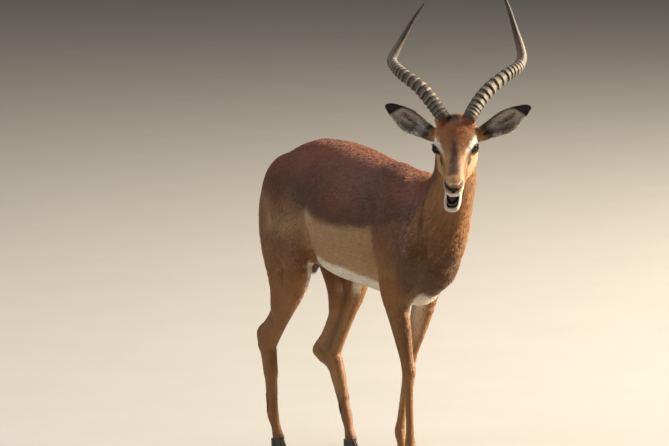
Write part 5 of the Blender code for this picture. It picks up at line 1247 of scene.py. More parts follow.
def mesh_object(name, co, faces, smooth=True):
    """A mesh from arrays; faces is (n, 3) or (n, 4)."""
    me = bpy.data.meshes.new(name)
    faces = np.asarray(faces, np.int32)
    k = faces.shape[1]
    me.vertices.add(len(co))
    me.vertices.foreach_set("co", (np.asarray(co, float) - MIDDLE).astype(np.float32).ravel())
    me.loops.add(faces.size)
    me.loops.foreach_set("vertex_index", faces.ravel())
    me.polygons.add(len(faces))
    me.polygons.foreach_set("loop_start", np.arange(len(faces), dtype=np.int32) * k)
    me.polygons.foreach_set("loop_total", np.full(len(faces), k, np.int32))
    me.update(calc_edges=True)
    if smooth:
        me.polygons.foreach_set("use_smooth", np.ones(len(faces), bool))
    ob = bpy.data.objects.new(name, me)
    bpy.context.scene.collection.objects.link(ob)
    return ob


def colour_attr(ob, name, rgb):
    a = ob.data.color_attributes.new(name, "FLOAT_COLOR", "POINT")
    out = np.ones((len(ob.data.vertices), 4), np.float32)
    out[:, :3] = rgb
    a.data.foreach_set("color", out.ravel())


def value_attr(ob, name, v):
    a = ob.data.attributes.new(name, "FLOAT", "POINT")
    a.data.foreach_set("value", np.asarray(v, np.float32))


def vertex_normals(co, faces):
    f = np.asarray(faces)
    a, b, c = co[f[:, 0]], co[f[:, 1]], co[f[:, 2]]
    if f.shape[1] == 4:
        n = np.cross(c - a, co[f[:, 3]] - b)
    else:
        n = np.cross(b - a, c - a)
    vn = np.zeros_like(co)
    for k in range(f.shape[1]):
        for j in range(3):
            vn[:, j] += np.bincount(f[:, k], weights=n[:, j], minlength=len(co))
    return vn / (np.linalg.norm(vn, axis=1)[:, None] + 1e-12)


# ---- the skin --------------------------------------------------------------------------------

def coat_depth(p):
    hx, f, hz = to_head(p.astype(float))
    near_head = sm(-0.03, 0.03, f) * (np.abs(hx) < 0.22) * (np.linalg.norm(p - HEAD[0], axis=1) < 0.40)
    low = sm(0.50, 0.38, p[:, 2])
    d = 0.0022 + (0.0012 - 0.0022) * low
    d = d + (0.0008 - d) * near_head
    face = sm(0.10, 0.20, f) * near_head
    d = d + (0.0005 - d) * face
    ear = sm(0.055, 0.066, np.abs(hx)) * (f < 0.10) * (hz > -0.05) * (np.linalg.norm(p - HEAD[0], axis=1) < 0.25)
    d = d * (1 - ear) + 0.0003 * ear
    e = np.sqrt((np.abs(hx) - EYE[0]) ** 2 + (f - EYE[1]) ** 2 + (hz - EYE[2]) ** 2)
    d = d * sm(0.0215, 0.027, e)
    return d.astype(F4)


animal = whole()
_cuts = [prim for kind, prim, k, fr in animal.steps if kind == "cut" and isinstance(prim, Tube)]
MOUTH_TUBES = _cuts[2:4]
fine = 0.0017
coarse = 0.0050
FINE = ((-0.225, 0.105), (-0.665, -0.315), (0.850, 1.110))
xs = axis_lines(-0.30, 0.24, FINE[0], coarse, fine)
ys = axis_lines(-0.74, 0.56, FINE[1], coarse, fine)
zs = axis_lines(0.022, 1.13, FINE[2], coarse, fine)
SKIN, QUADS = surface(field(animal, xs, ys, zs, inset=coat_depth), xs, ys, zs, openvdb)
SKIN = SKIN.astype(float)
NORMALS = vertex_normals(SKIN, QUADS)
LAB = labels(SKIN)
COL, WET = markings(SKIN, NORMALS, LAB)
say("skin", len(SKIN), len(QUADS))



# ---- materials --------------------------------------------------------------------------------

class Nodes:
    """A short way to write a node material."""

    def __init__(self, name):
        self.mat = bpy.data.materials.new(name)
        self.mat.use_nodes = True
        self.t = self.mat.node_tree
        self.t.nodes.clear()
        self.out = self.t.nodes.new("ShaderNodeOutputMaterial")
        self.b = self.t.nodes.new("ShaderNodeBsdfPrincipled")
        self.t.links.new(self.b.outputs[0], self.out.inputs[0])

    def new(self, kind, **kw):
        n = self.t.nodes.new("ShaderNode" + kind)
        for k, v in kw.items():
            setattr(n, k, v)
        return n

    def link(self, a, b):
        self.t.links.new(a, b)

    def attr(self, name):
        n = self.new("Attribute")
        n.attribute_type = "GEOMETRY"
        n.attribute_name = name
        return n

    def coord(self):
        return self.new("TexCoord").outputs["Object"]

    def noise(self, vec, scale, detail=3.0, rough=0.55, stretch=None, distort=0.0):
        if stretch is not None:
            m = self.new("Mapping")
            m.inputs["Scale"].default_value = stretch
            self.link(vec, m.inputs["Vector"])
            vec = m.outputs[0]
        n = self.new("TexNoise")
        n.inputs["Scale"].default_value = scale
        n.inputs["Detail"].default_value = detail
        n.inputs["Roughness"].default_value = rough
        n.inputs["Distortion"].default_value = distort
        self.link(vec, n.inputs["Vector"])
        return n.outputs["Fac"]

    def span(self, v, a, b, c=0.0, d=1.0):
        n = self.new("MapRange")
        n.inputs["From Min"].default_value = a
        n.inputs["From Max"].default_value = b
        n.inputs["To Min"].default_value = c
        n.inputs["To Max"].default_value = d
        self.link(v, n.inputs["Value"])
        return n.outputs[0]

    def math(self, op, a, b=None):
        n = self.new("Math", operation=op)
        for i, v in enumerate((a, b)):
            if v is None:
                continue
            if isinstance(v, (int, float)):
                n.inputs[i].default_value = v
            else:
                self.link(v, n.inputs[i])
        return n.outputs[0]

    def scale_colour(self, col, v):
        n = self.new("VectorMath", operation="SCALE")
        self.link(col, n.inputs[0])
        self.link(v, n.inputs["Scale"])
        return n.outputs[0]

    def mixc(self, fac, a, b):
        n = self.new("Mix", data_type="RGBA")
        for k, v in (("Factor", fac), ("A", a), ("B", b)):
            idx = {"Factor": 0, "A": 6, "B": 7}[k]
            if isinstance(v, (int, float)):
                n.inputs[idx].default_value = v
            elif isinstance(v, tuple):
                n.inputs[idx].default_value = (*v, 1.0)
            else:
                self.link(v, n.inputs[idx])
        return n.outputs[2]

    def bump(self, h, strength, distance, normal=None):
        n = self.new("Bump")
        n.inputs["Strength"].default_value = strength
        n.inputs["Distance"].default_value = distance
        self.link(h, n.inputs["Height"])
        if normal is not None:
            self.link(normal, n.inputs["Normal"])
        return n.outputs[0]

    def set(self, **kw):
        for k, v in kw.items():
            key = k.replace("_", " ")
            if isinstance(v, (int, float)):
                self.b.inputs[key].default_value = v
            elif isinstance(v, tuple):
                self.b.inputs[key].default_value = (*v, 1.0) if len(v) == 3 and "Radius" not in key else v
            else:
                self.link(v, self.b.inputs[key])
        return self


def give(ob, mat):
    ob.data.materials.clear()
    ob.data.materials.append(mat)


def skin_material():
    m = Nodes("coat_ground")
    col = m.attr("Col").outputs["Color"]
    wet = m.attr("wet").outputs["Fac"]
    lay = m.attr("lay").outputs["Vector"]
    fib = m.noise(lay, 1.0, 4.0, 0.6)
    blot = m.noise(m.coord(), 60.0, 3.0)
    v = m.math("MULTIPLY", m.span(fib, 0.3, 0.7, 0.72, 1.22), m.span(blot, 0.3, 0.7, 0.90, 1.10))
    v = m.math("ADD", m.math("MULTIPLY", v, m.math("SUBTRACT", 1.0, wet)), wet)
    b = m.bump(fib, 0.55, 0.0012)
    pores = m.noise(m.coord(), 900.0, 2.0)
    b = m.bump(pores, 0.35, 0.0004, b)
    rough_ = m.span(m.math("ADD", wet, m.span(pores, 0.3, 0.7, -0.06, 0.06)), 0.0, 1.0, 0.62, 0.26)
    m.set(Base_Color=m.scale_colour(col, v), Roughness=rough_, Normal=b)
    m.b.inputs["Specular IOR Level"].default_value = 0.35
    m.b.inputs["Sheen Weight"].default_value = 0.10
    m.b.inputs["Sheen Roughness"].default_value = 0.5
    m.b.inputs["Sheen Tint"].default_value = (1.0, 0.86, 0.70, 1.0)
    return m.mat


def coat_material():
    m = Nodes("coat_hair")
    col = m.attr("Col").outputs["Color"]
    n1 = m.noise(m.coord(), 240.0, 2.0)
    n2 = m.noise(m.coord(), 35.0, 3.0)
    v = m.math("MULTIPLY", m.span(n1, 0.3, 0.7, 0.88, 1.12), m.span(n2, 0.3, 0.7, 0.93, 1.07))
    m.set(Base_Color=m.scale_colour(col, v), Roughness=m.span(n1, 0.3, 0.7, 0.44, 0.60))
    m.b.inputs["Specular IOR Level"].default_value = 0.35
    m.b.inputs["Sheen Weight"].default_value = 0.08
    m.b.inputs["Sheen Roughness"].default_value = 0.5
    m.b.inputs["Sheen Tint"].default_value = (1.0, 0.86, 0.70, 1.0)
    return m.mat


def horn_material():
    m = Nodes("horn_keratin")
    col = m.attr("Col").outputs["Color"]
    lay = m.attr("lay").outputs["Vector"]
    fib = m.noise(lay, 1.0, 5.0, 0.6)
    blot = m.noise(m.coord(), 70.0, 4.0)
    scuff = m.noise(m.coord(), 420.0, 3.0)
    v = m.math("MULTIPLY", m.span(fib, 0.3, 0.7, 0.62, 1.35), m.span(blot, 0.3, 0.7, 0.80, 1.20))
    b = m.bump(fib, 0.55, 0.0012)
    b = m.bump(scuff, 0.25, 0.0006, b)
    m.set(Base_Color=m.scale_colour(col, v), Roughness=m.span(scuff, 0.3, 0.7, 0.50, 0.72), Normal=b)
    m.b.inputs["Specular IOR Level"].default_value = 0.38
    return m.mat


def hoof_material():
    m = Nodes("hoof_keratin")
    lay = m.attr("lay").outputs["Vector"]
    rings = m.noise(lay, 1.0, 3.0, 0.5, stretch=(6.0, 6.0, 420.0))
    fib = m.noise(lay, 1.0, 4.0, 0.6, stretch=(700.0, 700.0, 30.0))
    dust = m.noise(m.coord(), 60.0, 4.0, 0.6)
    low = m.span(m.attr("rise").outputs["Fac"], 0.0, 0.35, 1.0, 0.0)
    base = m.mixc(m.span(fib, 0.3, 0.7), (0.012, 0.010, 0.009), (0.050, 0.042, 0.036))
    wornc = m.mixc(m.math("MULTIPLY", m.span(dust, 0.42, 0.66), m.math("ADD", m.math("MULTIPLY", low, 0.6), 0.25)), base, (0.17, 0.125, 0.088))
    b = m.bump(rings, 0.5, 0.0010)
    b = m.bump(fib, 0.35, 0.0005, b)
    m.set(Base_Color=wornc, Roughness=m.span(dust, 0.3, 0.7, 0.38, 0.66), Normal=b)
    return m.mat


def eye_material():
    m = Nodes("eye_wet")
    q = m.attr("iris").outputs["Vector"]            # across, up, from the middle, over the iris radius
    sep = m.new("SeparateXYZ")
    m.link(q, sep.inputs[0])
    x, y, r = sep.outputs
    streak = m.noise(m.attr("ray").outputs["Vector"], 1.0, 4.0, 0.6)
    iris = m.mixc(m.span(streak, 0.3, 0.7), (0.007, 0.0035, 0.002), (0.028, 0.012, 0.006))
    iris = m.mixc(m.span(r, 0.70, 1.0), iris, (0.006, 0.004, 0.003))
    px = m.math("POWER", m.math("ABSOLUTE", m.math("DIVIDE", x, 0.62)), 3.0)
    py = m.math("POWER", m.math("ABSOLUTE", m.math("DIVIDE", y, 0.27)), 3.0)
    pup = m.span(m.math("ADD", px, py), 0.85, 1.15, 1.0, 0.0)
    col = m.mixc(pup, iris, (0.0015, 0.0015, 0.002))
    veins = m.noise(m.coord(), 700.0, 4.0, 0.7, distort=1.0)
    white = m.mixc(m.span(veins, 0.45, 0.62), (0.030, 0.020, 0.017), (0.075, 0.050, 0.042))
    col = m.mixc(m.span(r, 1.02, 1.16), col, white)
    m.set(Base_Color=col, Roughness=m.span(streak, 0.0, 1.0, 0.03, 0.06))
    m.b.inputs["Specular IOR Level"].default_value = 0.45
    return m.mat


def tongue_material():
    m = Nodes("tongue_flesh")
    c = m.coord()
    a = m.noise(c, 900.0, 3.0)
    d = m.noise(c, 120.0, 3.0)
    # the tongue's own colour deepened as painted shade inside the mouth
    col = m.mixc(m.span(d, 0.35, 0.65), (0.055, 0.026, 0.028), (0.100, 0.050, 0.050))
    m.set(Base_Color=col, Roughness=m.span(a, 0.3, 0.7, 0.25, 0.42), Normal=m.bump(a, 0.6, 0.0008))
    m.b.inputs["Subsurface Weight"].default_value = 0.1
    return m.mat


def tooth_material():
    m = Nodes("tooth_enamel")
    c = m.coord()
    a = m.noise(c, 260.0, 3.0)
    rise = m.attr("rise").outputs["Fac"]
    col = m.mixc(m.span(rise, 0.0, 0.8), (0.30, 0.20, 0.11), (0.62, 0.55, 0.43))
    col = m.mixc(m.span(a, 0.45, 0.70, 0.0, 0.5), col, (0.36, 0.25, 0.14))
    m.set(Base_Color=col, Roughness=m.span(a, 0.3, 0.7, 0.16, 0.30), Normal=m.bump(a, 0.2, 0.0004))
    return m.mat


def floor_material():
    m = Nodes("floor_pale")
    c = m.coord()
    a = m.noise(c, 3.0, 4.0)
    d = m.noise(c, 180.0, 3.0)
    col = m.mixc(m.span(a, 0.3, 0.7), (0.380, 0.375, 0.365), (0.395, 0.390, 0.380))
    m.set(Base_Color=col, Roughness=m.span(d, 0.3, 0.7, 0.55, 0.75), Normal=m.bump(d, 0.1, 0.0006))
    return m.mat


# ---- the skin as a piece ------------------------------------------------------------------------

def lay_coord(p, n, d, across=700.0, along=70.0):
    """Noise coordinates that run in streaks with the hair: tight across it and long along it."""
    s = np.cross(n, d)
    # the part of the place across the hair and along it, built from smooth position terms
    a = p - (p * d).sum(1)[:, None] * d
    return a * across + (p * d).sum(1)[:, None] * d * along


LIE = lie(SKIN, NORMALS, LAB)
skin = mesh_object("skin", SKIN, QUADS)
colour_attr(skin, "Col", COL)
value_attr(skin, "wet", WET)
_lay = skin.data.attributes.new("lay", "FLOAT_VECTOR", "POINT")
_lay.data.foreach_set("vector", lay_coord(SKIN, NORMALS, LIE).astype(np.float32).ravel())
give(skin, skin_material())
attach(skin, "root")
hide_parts("head", "neck", "trunk", "tail", "foreleg_right", "foreleg_left", "hindleg_right", "hindleg_left", "ear_right", "ear_left")
say("skin piece")


# ---- the coat -----------------------------------------------------------------------------------

TRIS = np.vstack([QUADS[:, [0, 1, 2]], QUADS[:, [0, 2, 3]]])
_a, _b, _c = SKIN[TRIS[:, 0]], SKIN[TRIS[:, 1]], SKIN[TRIS[:, 2]]
AREA = 0.5 * np.linalg.norm(np.cross(_b - _a, _c - _a), axis=1)
TLAB = LAB[TRIS[:, 0]]
TWET = WET[TRIS].max(1)


def roots(mask, count):
    i = np.nonzero(mask)[0]
    w = AREA[i] / AREA[i].sum()
    pick = i[np.searchsorted(np.cumsum(w), RNG.random(count)).clip(0, len(i) - 1)]
    u, v = RNG.random(count), RNG.random(count)
    m = u + v > 1
    u[m], v[m] = 1 - u[m], 1 - v[m]
    t = TRIS[pick]
    k = np.stack([1 - u - v, u, v], 1)
    p = (SKIN[t] * k[:, :, None]).sum(1)
    n = (NORMALS[t] * k[:, :, None]).sum(1)
    d = (LIE[t] * k[:, :, None]).sum(1)
    n /= np.linalg.norm(n, axis=1)[:, None]
    d -= (d * n).sum(1)[:, None] * n
    d /= np.linalg.norm(d, axis=1)[:, None] + 1e-9
    return p, n, d, LAB[t[:, 0]], WET[t].max(1)


def unwrap(lab, p):
    """Around and along each part of the body, both from 0 to 1."""
    x, y, z = p.T
    if lab in (L_TRUNK,):
        u = np.arctan2(x, z - 0.70) / (2 * math.pi) + 0.5
        v = (y + 0.42) / 1.0
    elif lab == L_HEAD:
        hx, f, hz = to_head(p)
        u = np.arctan2(hx, hz + 0.01) / (2 * math.pi) + 0.5
        v = (f + 0.04) / 0.34
    elif lab in (L_ER, L_EL):
        sg = -1 if lab == L_ER else 1
        T = EAR_OUT[sg]
        q = ((p - HEAD[0]) @ HEAD[1].T).astype(F4)
        at, s, uu, t, r, e = T.near(q)
        u = np.arctan2(s, uu) / (2 * math.pi) + 0.5
        v = at / (len(T.c) - 1)
    elif lab == L_NECK:
        c = np.array([0, -0.30, 0.78]) + (p[:, 2] - 0.78)[:, None] * np.array([-0.13, -0.45, 1.0])
        u = np.arctan2(x - c[:, 0], y - c[:, 1]) / (2 * math.pi) + 0.5
        v = (z - 0.58) / 0.52
    elif lab == L_TAIL:
        u = np.arctan2(x, y - 0.515) / (2 * math.pi) + 0.5
        v = (z - 0.50) / 0.38
    else:
        sg = -1 if lab in (L_FR, L_HR) else 1
        J = FORE[sg] if lab in (L_FR, L_FL) else [HIND[sg][i] for i in (0, 1, 2, 4, 5)]
        J = np.array(J)[::-1]
        u = np.arctan2(x - np.interp(z, J[:, 2], J[:, 0]), y - np.interp(z, J[:, 2], J[:, 1])) / (2 * math.pi) + 0.5
        v = (z - 0.02) / 0.62
    return np.clip(u, 0.004, 0.996), np.clip(v, 0.004, 0.996)


def blades(name, lab, p, n, d, length, width, lift, col, droop=0.35, soft=0.22, bend=None):
    """Thin pointed tufts: each is a kite of two triangles, root, two sides and tip."""
    N = len(p)
    if not N:
        return None
    s = np.cross(n, d)
    length = np.broadcast_to(length, (N,)).astype(float)
    width = np.broadcast_to(width, (N,)).astype(float)
    lift = np.broadcast_to(lift, (N,)).astype(float)
    turn = RNG.normal(0, 0.16, N)
    dd = d * np.cos(turn)[:, None] + s * np.sin(turn)[:, None]
    ss = np.cross(n, dd)
    roll = RNG.normal(0, soft, N)
    mid = p + dd * (0.42 * length)[:, None] + n * (0.55 * length * lift)[:, None]
    tip = p + dd * length[:, None] + n * (length * lift * (1 - droop))[:, None]
    if bend is not None:
        tip = tip + bend * length[:, None]
        mid = mid + bend * (0.2 * length)[:, None]
    root = p - n * 0.0003
    side = ss * (0.5 * width)[:, None]
    tilt = n * (0.5 * width * np.sin(roll))[:, None]
    co = np.stack([root, mid - side - tilt, tip, mid + side + tilt], 1).reshape(-1, 3)
    base = 4 * np.arange(N)[:, None]
    tri = np.concatenate([base + [0, 1, 3], base + [1, 2, 3]], 1).reshape(-1, 3)
    # faces look outward
    g = np.cross(co[tri[0, 1]] - co[tri[0, 0]], co[tri[0, 2]] - co[tri[0, 0]])
    if g @ n[0] < 0:
        tri = tri[:, ::-1]
    ob = mesh_object(name, co, tri)
    nn = n + ss * roll[:, None] - dd * 0.10
    nn /= np.linalg.norm(nn, axis=1)[:, None]
    nn4 = np.repeat(nn[:, None], 4, 1).reshape(-1, 3)
    ob.data.normals_split_custom_set_from_vertices(nn4.astype(np.float32).tolist() if False else nn4.astype(np.float32))
    # painted shade at each blade's root and painted highlight at its tip
    c4 = np.repeat(col[:, None], 4, 1)
    c4[:, 0] *= 0.80
    c4[:, 2] *= 1.14
    colour_attr(ob, "Col", np.clip(c4, 0, 1).reshape(-1, 3))
    u, v = unwrap(lab, p)
    uv = ob.data.uv_layers.new(name="OFBake")
    h = 0.0015
    quad = np.stack([np.stack([u, v - h], 1), np.stack([u - h, v], 1), np.stack([u, v + h], 1), np.stack([u + h, v], 1)], 1).reshape(-1, 2)
    uv.data.foreach_set("uv", quad[tri.ravel()].astype(np.float32).ravel())
    give(ob, HAIR)
    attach(ob, "root")
    return ob


HAIR = coat_material()


def grown(lab, mask, count, length, width, lift, name, vary=0.25, keep=None, **kw):
    p, n, d, L, wet = roots(mask, count)
    ok = (wet < 0.25) & (p[:, 2] > 0.0365)
    # nothing grows inside the foot of a horn
    q = (p - HEAD[0]) @ HEAD[1].T
    for sg in (-1, 1):
        h = np.array([[x, -f, z] for x, f, z, r in HORNS[sg][:3]])
        dist, w = seg_dist(q, h[0] - (h[1] - h[0]) * 0.3, h[1])
        ok &= ~((dist < 0.0195) & (w > 0.05))
    if keep is not None:
        ok &= keep(p, n)
    p, n, d = p[ok], n[ok], d[ok]
    if not len(p):
        return None
    jitter = RNG.normal(0, 0.0016, p.shape)
    col, _ = markings(p + jitter, n, np.full(len(p), lab))
    k = 1 + vary * 0.5 * RNG.normal(0, 1, len(p))
    col = np.clip(col * np.clip(k, 0.6, 1.5)[:, None], 0, 1)
    ln = (length(p, n) if callable(length) else length) * RNG.uniform(0.75, 1.25, len(p))
    wd = (width(p, n) if callable(width) else width) * RNG.uniform(0.8, 1.2, len(p))
    lf = lift(p, n) if callable(lift) else lift
    return blades(name, lab, p, n, d, ln, wd, lf * RNG.uniform(0.7, 1.3, len(p)), col, **kw)


def face_length(p, n):
    hx, f, hz = to_head(p)
    v = 0.0042 + 0.0035 * sm(0.16, 0.02, f)
    # a little longer on the crown and at the chin
    v = v + 0.0035 * sm(0.045, 0.02, f) * sm(0.01, 0.03, hz)
    return v - 0.0014 * sm(0.20, 0.24, f)


def face_width(p, n):
    return face_length(p, n) * 0.16


def trunk_length(p, n):
    x, y, z = p.T
    v = 0.0125 + 0.004 * sm(0.60, 0.54, z) + 0.004 * sm(0.0, -0.5, n[:, 2]) * 0
    v = v + 0.006 * np.exp(-((y - 0.30) / 0.12) ** 2) * sm(0.62, 0.57, z)
    v = v + 0.008 * sm(0.40, 0.47, y) * sm(0.6, 0.9, n[:, 1]) * sm(0.83, 0.77, z)
    return v


def trunk_lift(p, n):
    return 0.105 - 0.045 * sm(0.3, 0.8, n[:, 2])


def leg_length(p, n):
    x, y, z = p.T
    return 0.0060 + 0.0045 * sm(0.30, 0.50, z)


def leg_width(p, n):
    return leg_length(p, n) * 0.135


def ear_length(p, n):
    return np.full(len(p), 0.0062)


say("coat starts")
M = TWET < 0.3
tx = SKIN[TRIS].mean(1)
for lab, name, count, ln, wd, lf in (
    (L_TRUNK, "coat_trunk_right", 92000, trunk_length, 0.00165, trunk_lift),
    (L_TRUNK, "coat_trunk_left", 92000, trunk_length, 0.00165, trunk_lift),
    (L_NECK, "coat_neck", 42000, 0.0120, 0.00150, 0.115),
    (L_HEAD, "coat_head", 90000, face_length, face_width, 0.12),
    (L_FR, "coat_foreleg_right", 24000, leg_length, leg_width, 0.10),
    (L_FL, "coat_foreleg_left", 24000, leg_length, leg_width, 0.10),
    (L_HR, "coat_hindleg_right", 30000, leg_length, leg_width, 0.10),
    (L_HL, "coat_hindleg_left", 30000, leg_length, leg_width, 0.10),
    (L_ER, "coat_ear_right", 16000, ear_length, 0.00075, 0.10),
    (L_EL, "coat_ear_left", 16000, ear_length, 0.00075, 0.10),
    (L_TAIL, "coat_tail", 9000, 0.020, 0.0013, 0.16),
):
    mask = (TLAB == lab) & M
    if name.endswith("trunk_right"):
        mask &= tx[:, 0] <= 0
    if name.endswith("trunk_left"):
        mask &= tx[:, 0] > 0
    grown(lab, mask, count, ln, wd, lf, name)
say("coat grown")

# longer locks where the coat stands out of the form
tail_tip = (TLAB == L_TAIL) & (tx[:, 2] < 0.62)
grown(L_TAIL, tail_tip, 1600, 0.042, 0.0016, 0.16, "coat_tail_tuft", droop=0.2)
for lab, sg, name in ((L_HR, -1, "coat_gland_right"), (L_HL, 1, "coat_gland_left")):
    F = HIND[sg][4]
    g, _ = seg_dist(tx, (F[0], F[1] + 0.016, 0.132), (F[0], F[1] + 0.018, 0.166))
    grown(lab, (TLAB == lab) & (g < 0.0150), 1500, 0.0125, 0.0012, 0.20, name, droop=0.3)
brisket = ((TLAB == L_TRUNK) | (TLAB == L_NECK)) & (np.abs(tx[:, 0]) < 0.05) & (tx[:, 2] < 0.62) & (tx[:, 1] < -0.18)
grown(L_TRUNK, brisket, 1200, 0.0165, 0.0014, 0.11, "coat_brisket")


def ear_fringe(sg, lab, name):
    """Long pale hair from the edges of the ear, over its hollow."""
    T = EAR_OUT[sg]
    p, n, d, L, w = roots((TLAB == lab) & M, 26000)
    q = ((p - HEAD[0]) @ HEAD[1].T).astype(F4)
    at, s, u, t, r, e = T.near(q)
    k = at / (len(T.c) - 1)
    su = s / r[:, 0]
    face = unit(hv(*EARS[sg]["face"])) @ HEAD[1]
    facing = n @ face
    ok = (np.abs(su) > 0.50) & (facing > 0.0) & (k > 0.10) & (k < 0.90) & (RNG.random(len(p)) < 0.30)
    p, n, d, su, k, at = p[ok], n[ok], d[ok], su[ok], k[ok], at[ok]
    i = at.astype(int).clip(0, len(T.s) - 1)
    inward = -np.sign(su)[:, None] * (T.s[i] @ HEAD[1])
    dd = d * 0.75 + inward * 0.62
    dd -= (dd * n).sum(1)[:, None] * n
    dd /= np.linalg.norm(dd, axis=1)[:, None]
    col, _ = markings(p, n, np.full(len(p), lab))
    pale = (0.45 * sm(0.78, 0.68, k) * sm(0.15, 0.35, k))[:, None]
    col = col * (1 - pale) + np.array([0.60, 0.54, 0.46]) * pale
    col *= (1 + 0.15 * RNG.normal(0, 1, len(p)))[:, None]
    ln = (0.010 + 0.009 * np.exp(-((k - 0.35) / 0.25) ** 2)) * RNG.uniform(0.6, 1.2, len(p))
    blades(name, lab, p, n, dd, ln, 0.0008, 0.22 * RNG.uniform(0.5, 1.2, len(p)), np.clip(col, 0, 1), droop=0.1)


ear_fringe(-1, L_ER, "coat_ear_fringe_right")
ear_fringe(1, L_EL, "coat_ear_fringe_left")
say("locks")


# ---- eyes ---------------------------------------------------------------------------------------

def ball(c, axes, r, nu, nv, shape=None):
    """A fine ball round axes[2], in rings, with each vertex's unit direction."""
    dirs = [(0, 0, 1)]
    for i in range(1, nv):
        a = math.pi * i / nv
        for j in range(nu):
            w = 2 * math.pi * j / nu
            dirs.append((math.sin(a) * math.cos(w), math.sin(a) * math.sin(w), math.cos(a)))
    dirs.append((0, 0, -1))
    D = np.array(dirs)
    R = np.asarray(r) * np.ones(3)
    q = D * R
    if shape is not None:
        q = shape(q, D)
    co = q @ np.asarray(axes) + c
    tri = []
    for j in range(nu):
        k = (j + 1) % nu
        tri.append((0, 1 + j, 1 + k))
        m = 1 + (nv - 2) * nu
        tri.append((len(D) - 1, m + k, m + j))
        for i in range(nv - 2):
            a, b = 1 + i * nu, 1 + (i + 1) * nu
            tri.append((a + j, b + j, b + k))
            tri.append((a + j, b + k, a + k))
    tri = np.array(tri)
    if np.linalg.det(np.asarray(axes)) < 0:
        tri = tri[:, ::-1]
    return co, tri, D


EYE_MAT = eye_material()
for sg, side in ((-1, "right"), (1, "left")):
    c = head_point(sg * EYE[0], EYE[1], EYE[2])
    look = unit([sg * EYE_LOOK[0], EYE_LOOK[1], EYE_LOOK[2]])
    gaze = unit(np.array([sg * 0.80, -0.52, 0.30]))
    ax = lid_axes(sg, gaze)                           # along the lids, out, up
    axes = np.array([ax[0], ax[2], ax[1]]) @ HEAD[1]

    def bulge(q, D):
        a = np.arccos(np.clip(D[:, 2], -1, 1))
        return q * (1 + 0.020 * np.exp(-((a / 0.55) ** 2)))[:, None]

    co, tri, D = ball(c, axes, EYE_R - 0.0001, 72, 56, bulge)
    ob = mesh_object("eyeball_" + side, co, tri)
    bmn = bmesh.new()
    bmn.from_mesh(ob.data)
    bmesh.ops.recalc_face_normals(bmn, faces=bmn.faces)
    bmn.to_mesh(ob.data)
    bmn.free()
    R = 0.86                                         # radians from the middle to the edge of the iris
    a = np.arccos(np.clip(D[:, 2], -1, 1)) / R
    w = np.arctan2(D[:, 1], D[:, 0])
    q = np.stack([a * np.cos(w), a * np.sin(w), a], 1)
    at_ = ob.data.attributes.new("iris", "FLOAT_VECTOR", "POINT")
    at_.data.foreach_set("vector", q.astype(np.float32).ravel())
    ray = np.stack([np.cos(w) * 9, np.sin(w) * 9, a * 1.2], 1)
    at_ = ob.data.attributes.new("ray", "FLOAT_VECTOR", "POINT")
    at_.data.foreach_set("vector", ray.astype(np.float32).ravel())
    give(ob, EYE_MAT)
    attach(ob, "root")
    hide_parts("eye_" + side)

    # lashes along the upper lid
    axl = lid_axes(sg, look)
    A, O, Uu = axl @ HEAD[1]
    P, Nn, Dd = [], [], []
    for i in range(130):
        t = -0.0165 + 0.030 * (i + 0.5) / 130
        h = 0.0078 * math.sqrt(max(0.0, 1 - (t / 0.0172) ** 2))
        r0 = EYE_R + 0.0012
        depth = math.sqrt(max(r0 * r0 - t * t - h * h, 0))
        P.append(c + A * t + Uu * h + O * depth)
        Dd.append(unit(O * 0.9 + Uu * 0.18 + A * (0.9 * t / 0.0165) * 0.4 + np.array([0, 0, -0.12])))
        Nn.append(unit(Uu * 1.0 + O * 0.2))
    P, Nn, Dd = np.array(P), np.array(Nn), np.array(Dd)
    P_T = -0.0165 + 0.030 * (np.arange(130) + 0.5) / 130
    Dd -= (Dd * Nn).sum(1)[:, None] * Nn
    Dd /= np.linalg.norm(Dd, axis=1)[:, None]
    black = np.tile(np.array([0.008, 0.007, 0.006]), (len(P), 1))
    blades("lashes_" + side, L_HEAD, P, Nn, Dd, (0.0092 - 0.10 * P_T) * RNG.uniform(0.8, 1.1, len(P)), 0.00055, 0.05, black)


# ---- horns --------------------------------------------------------------------------------------

HORN_MAT = horn_material()


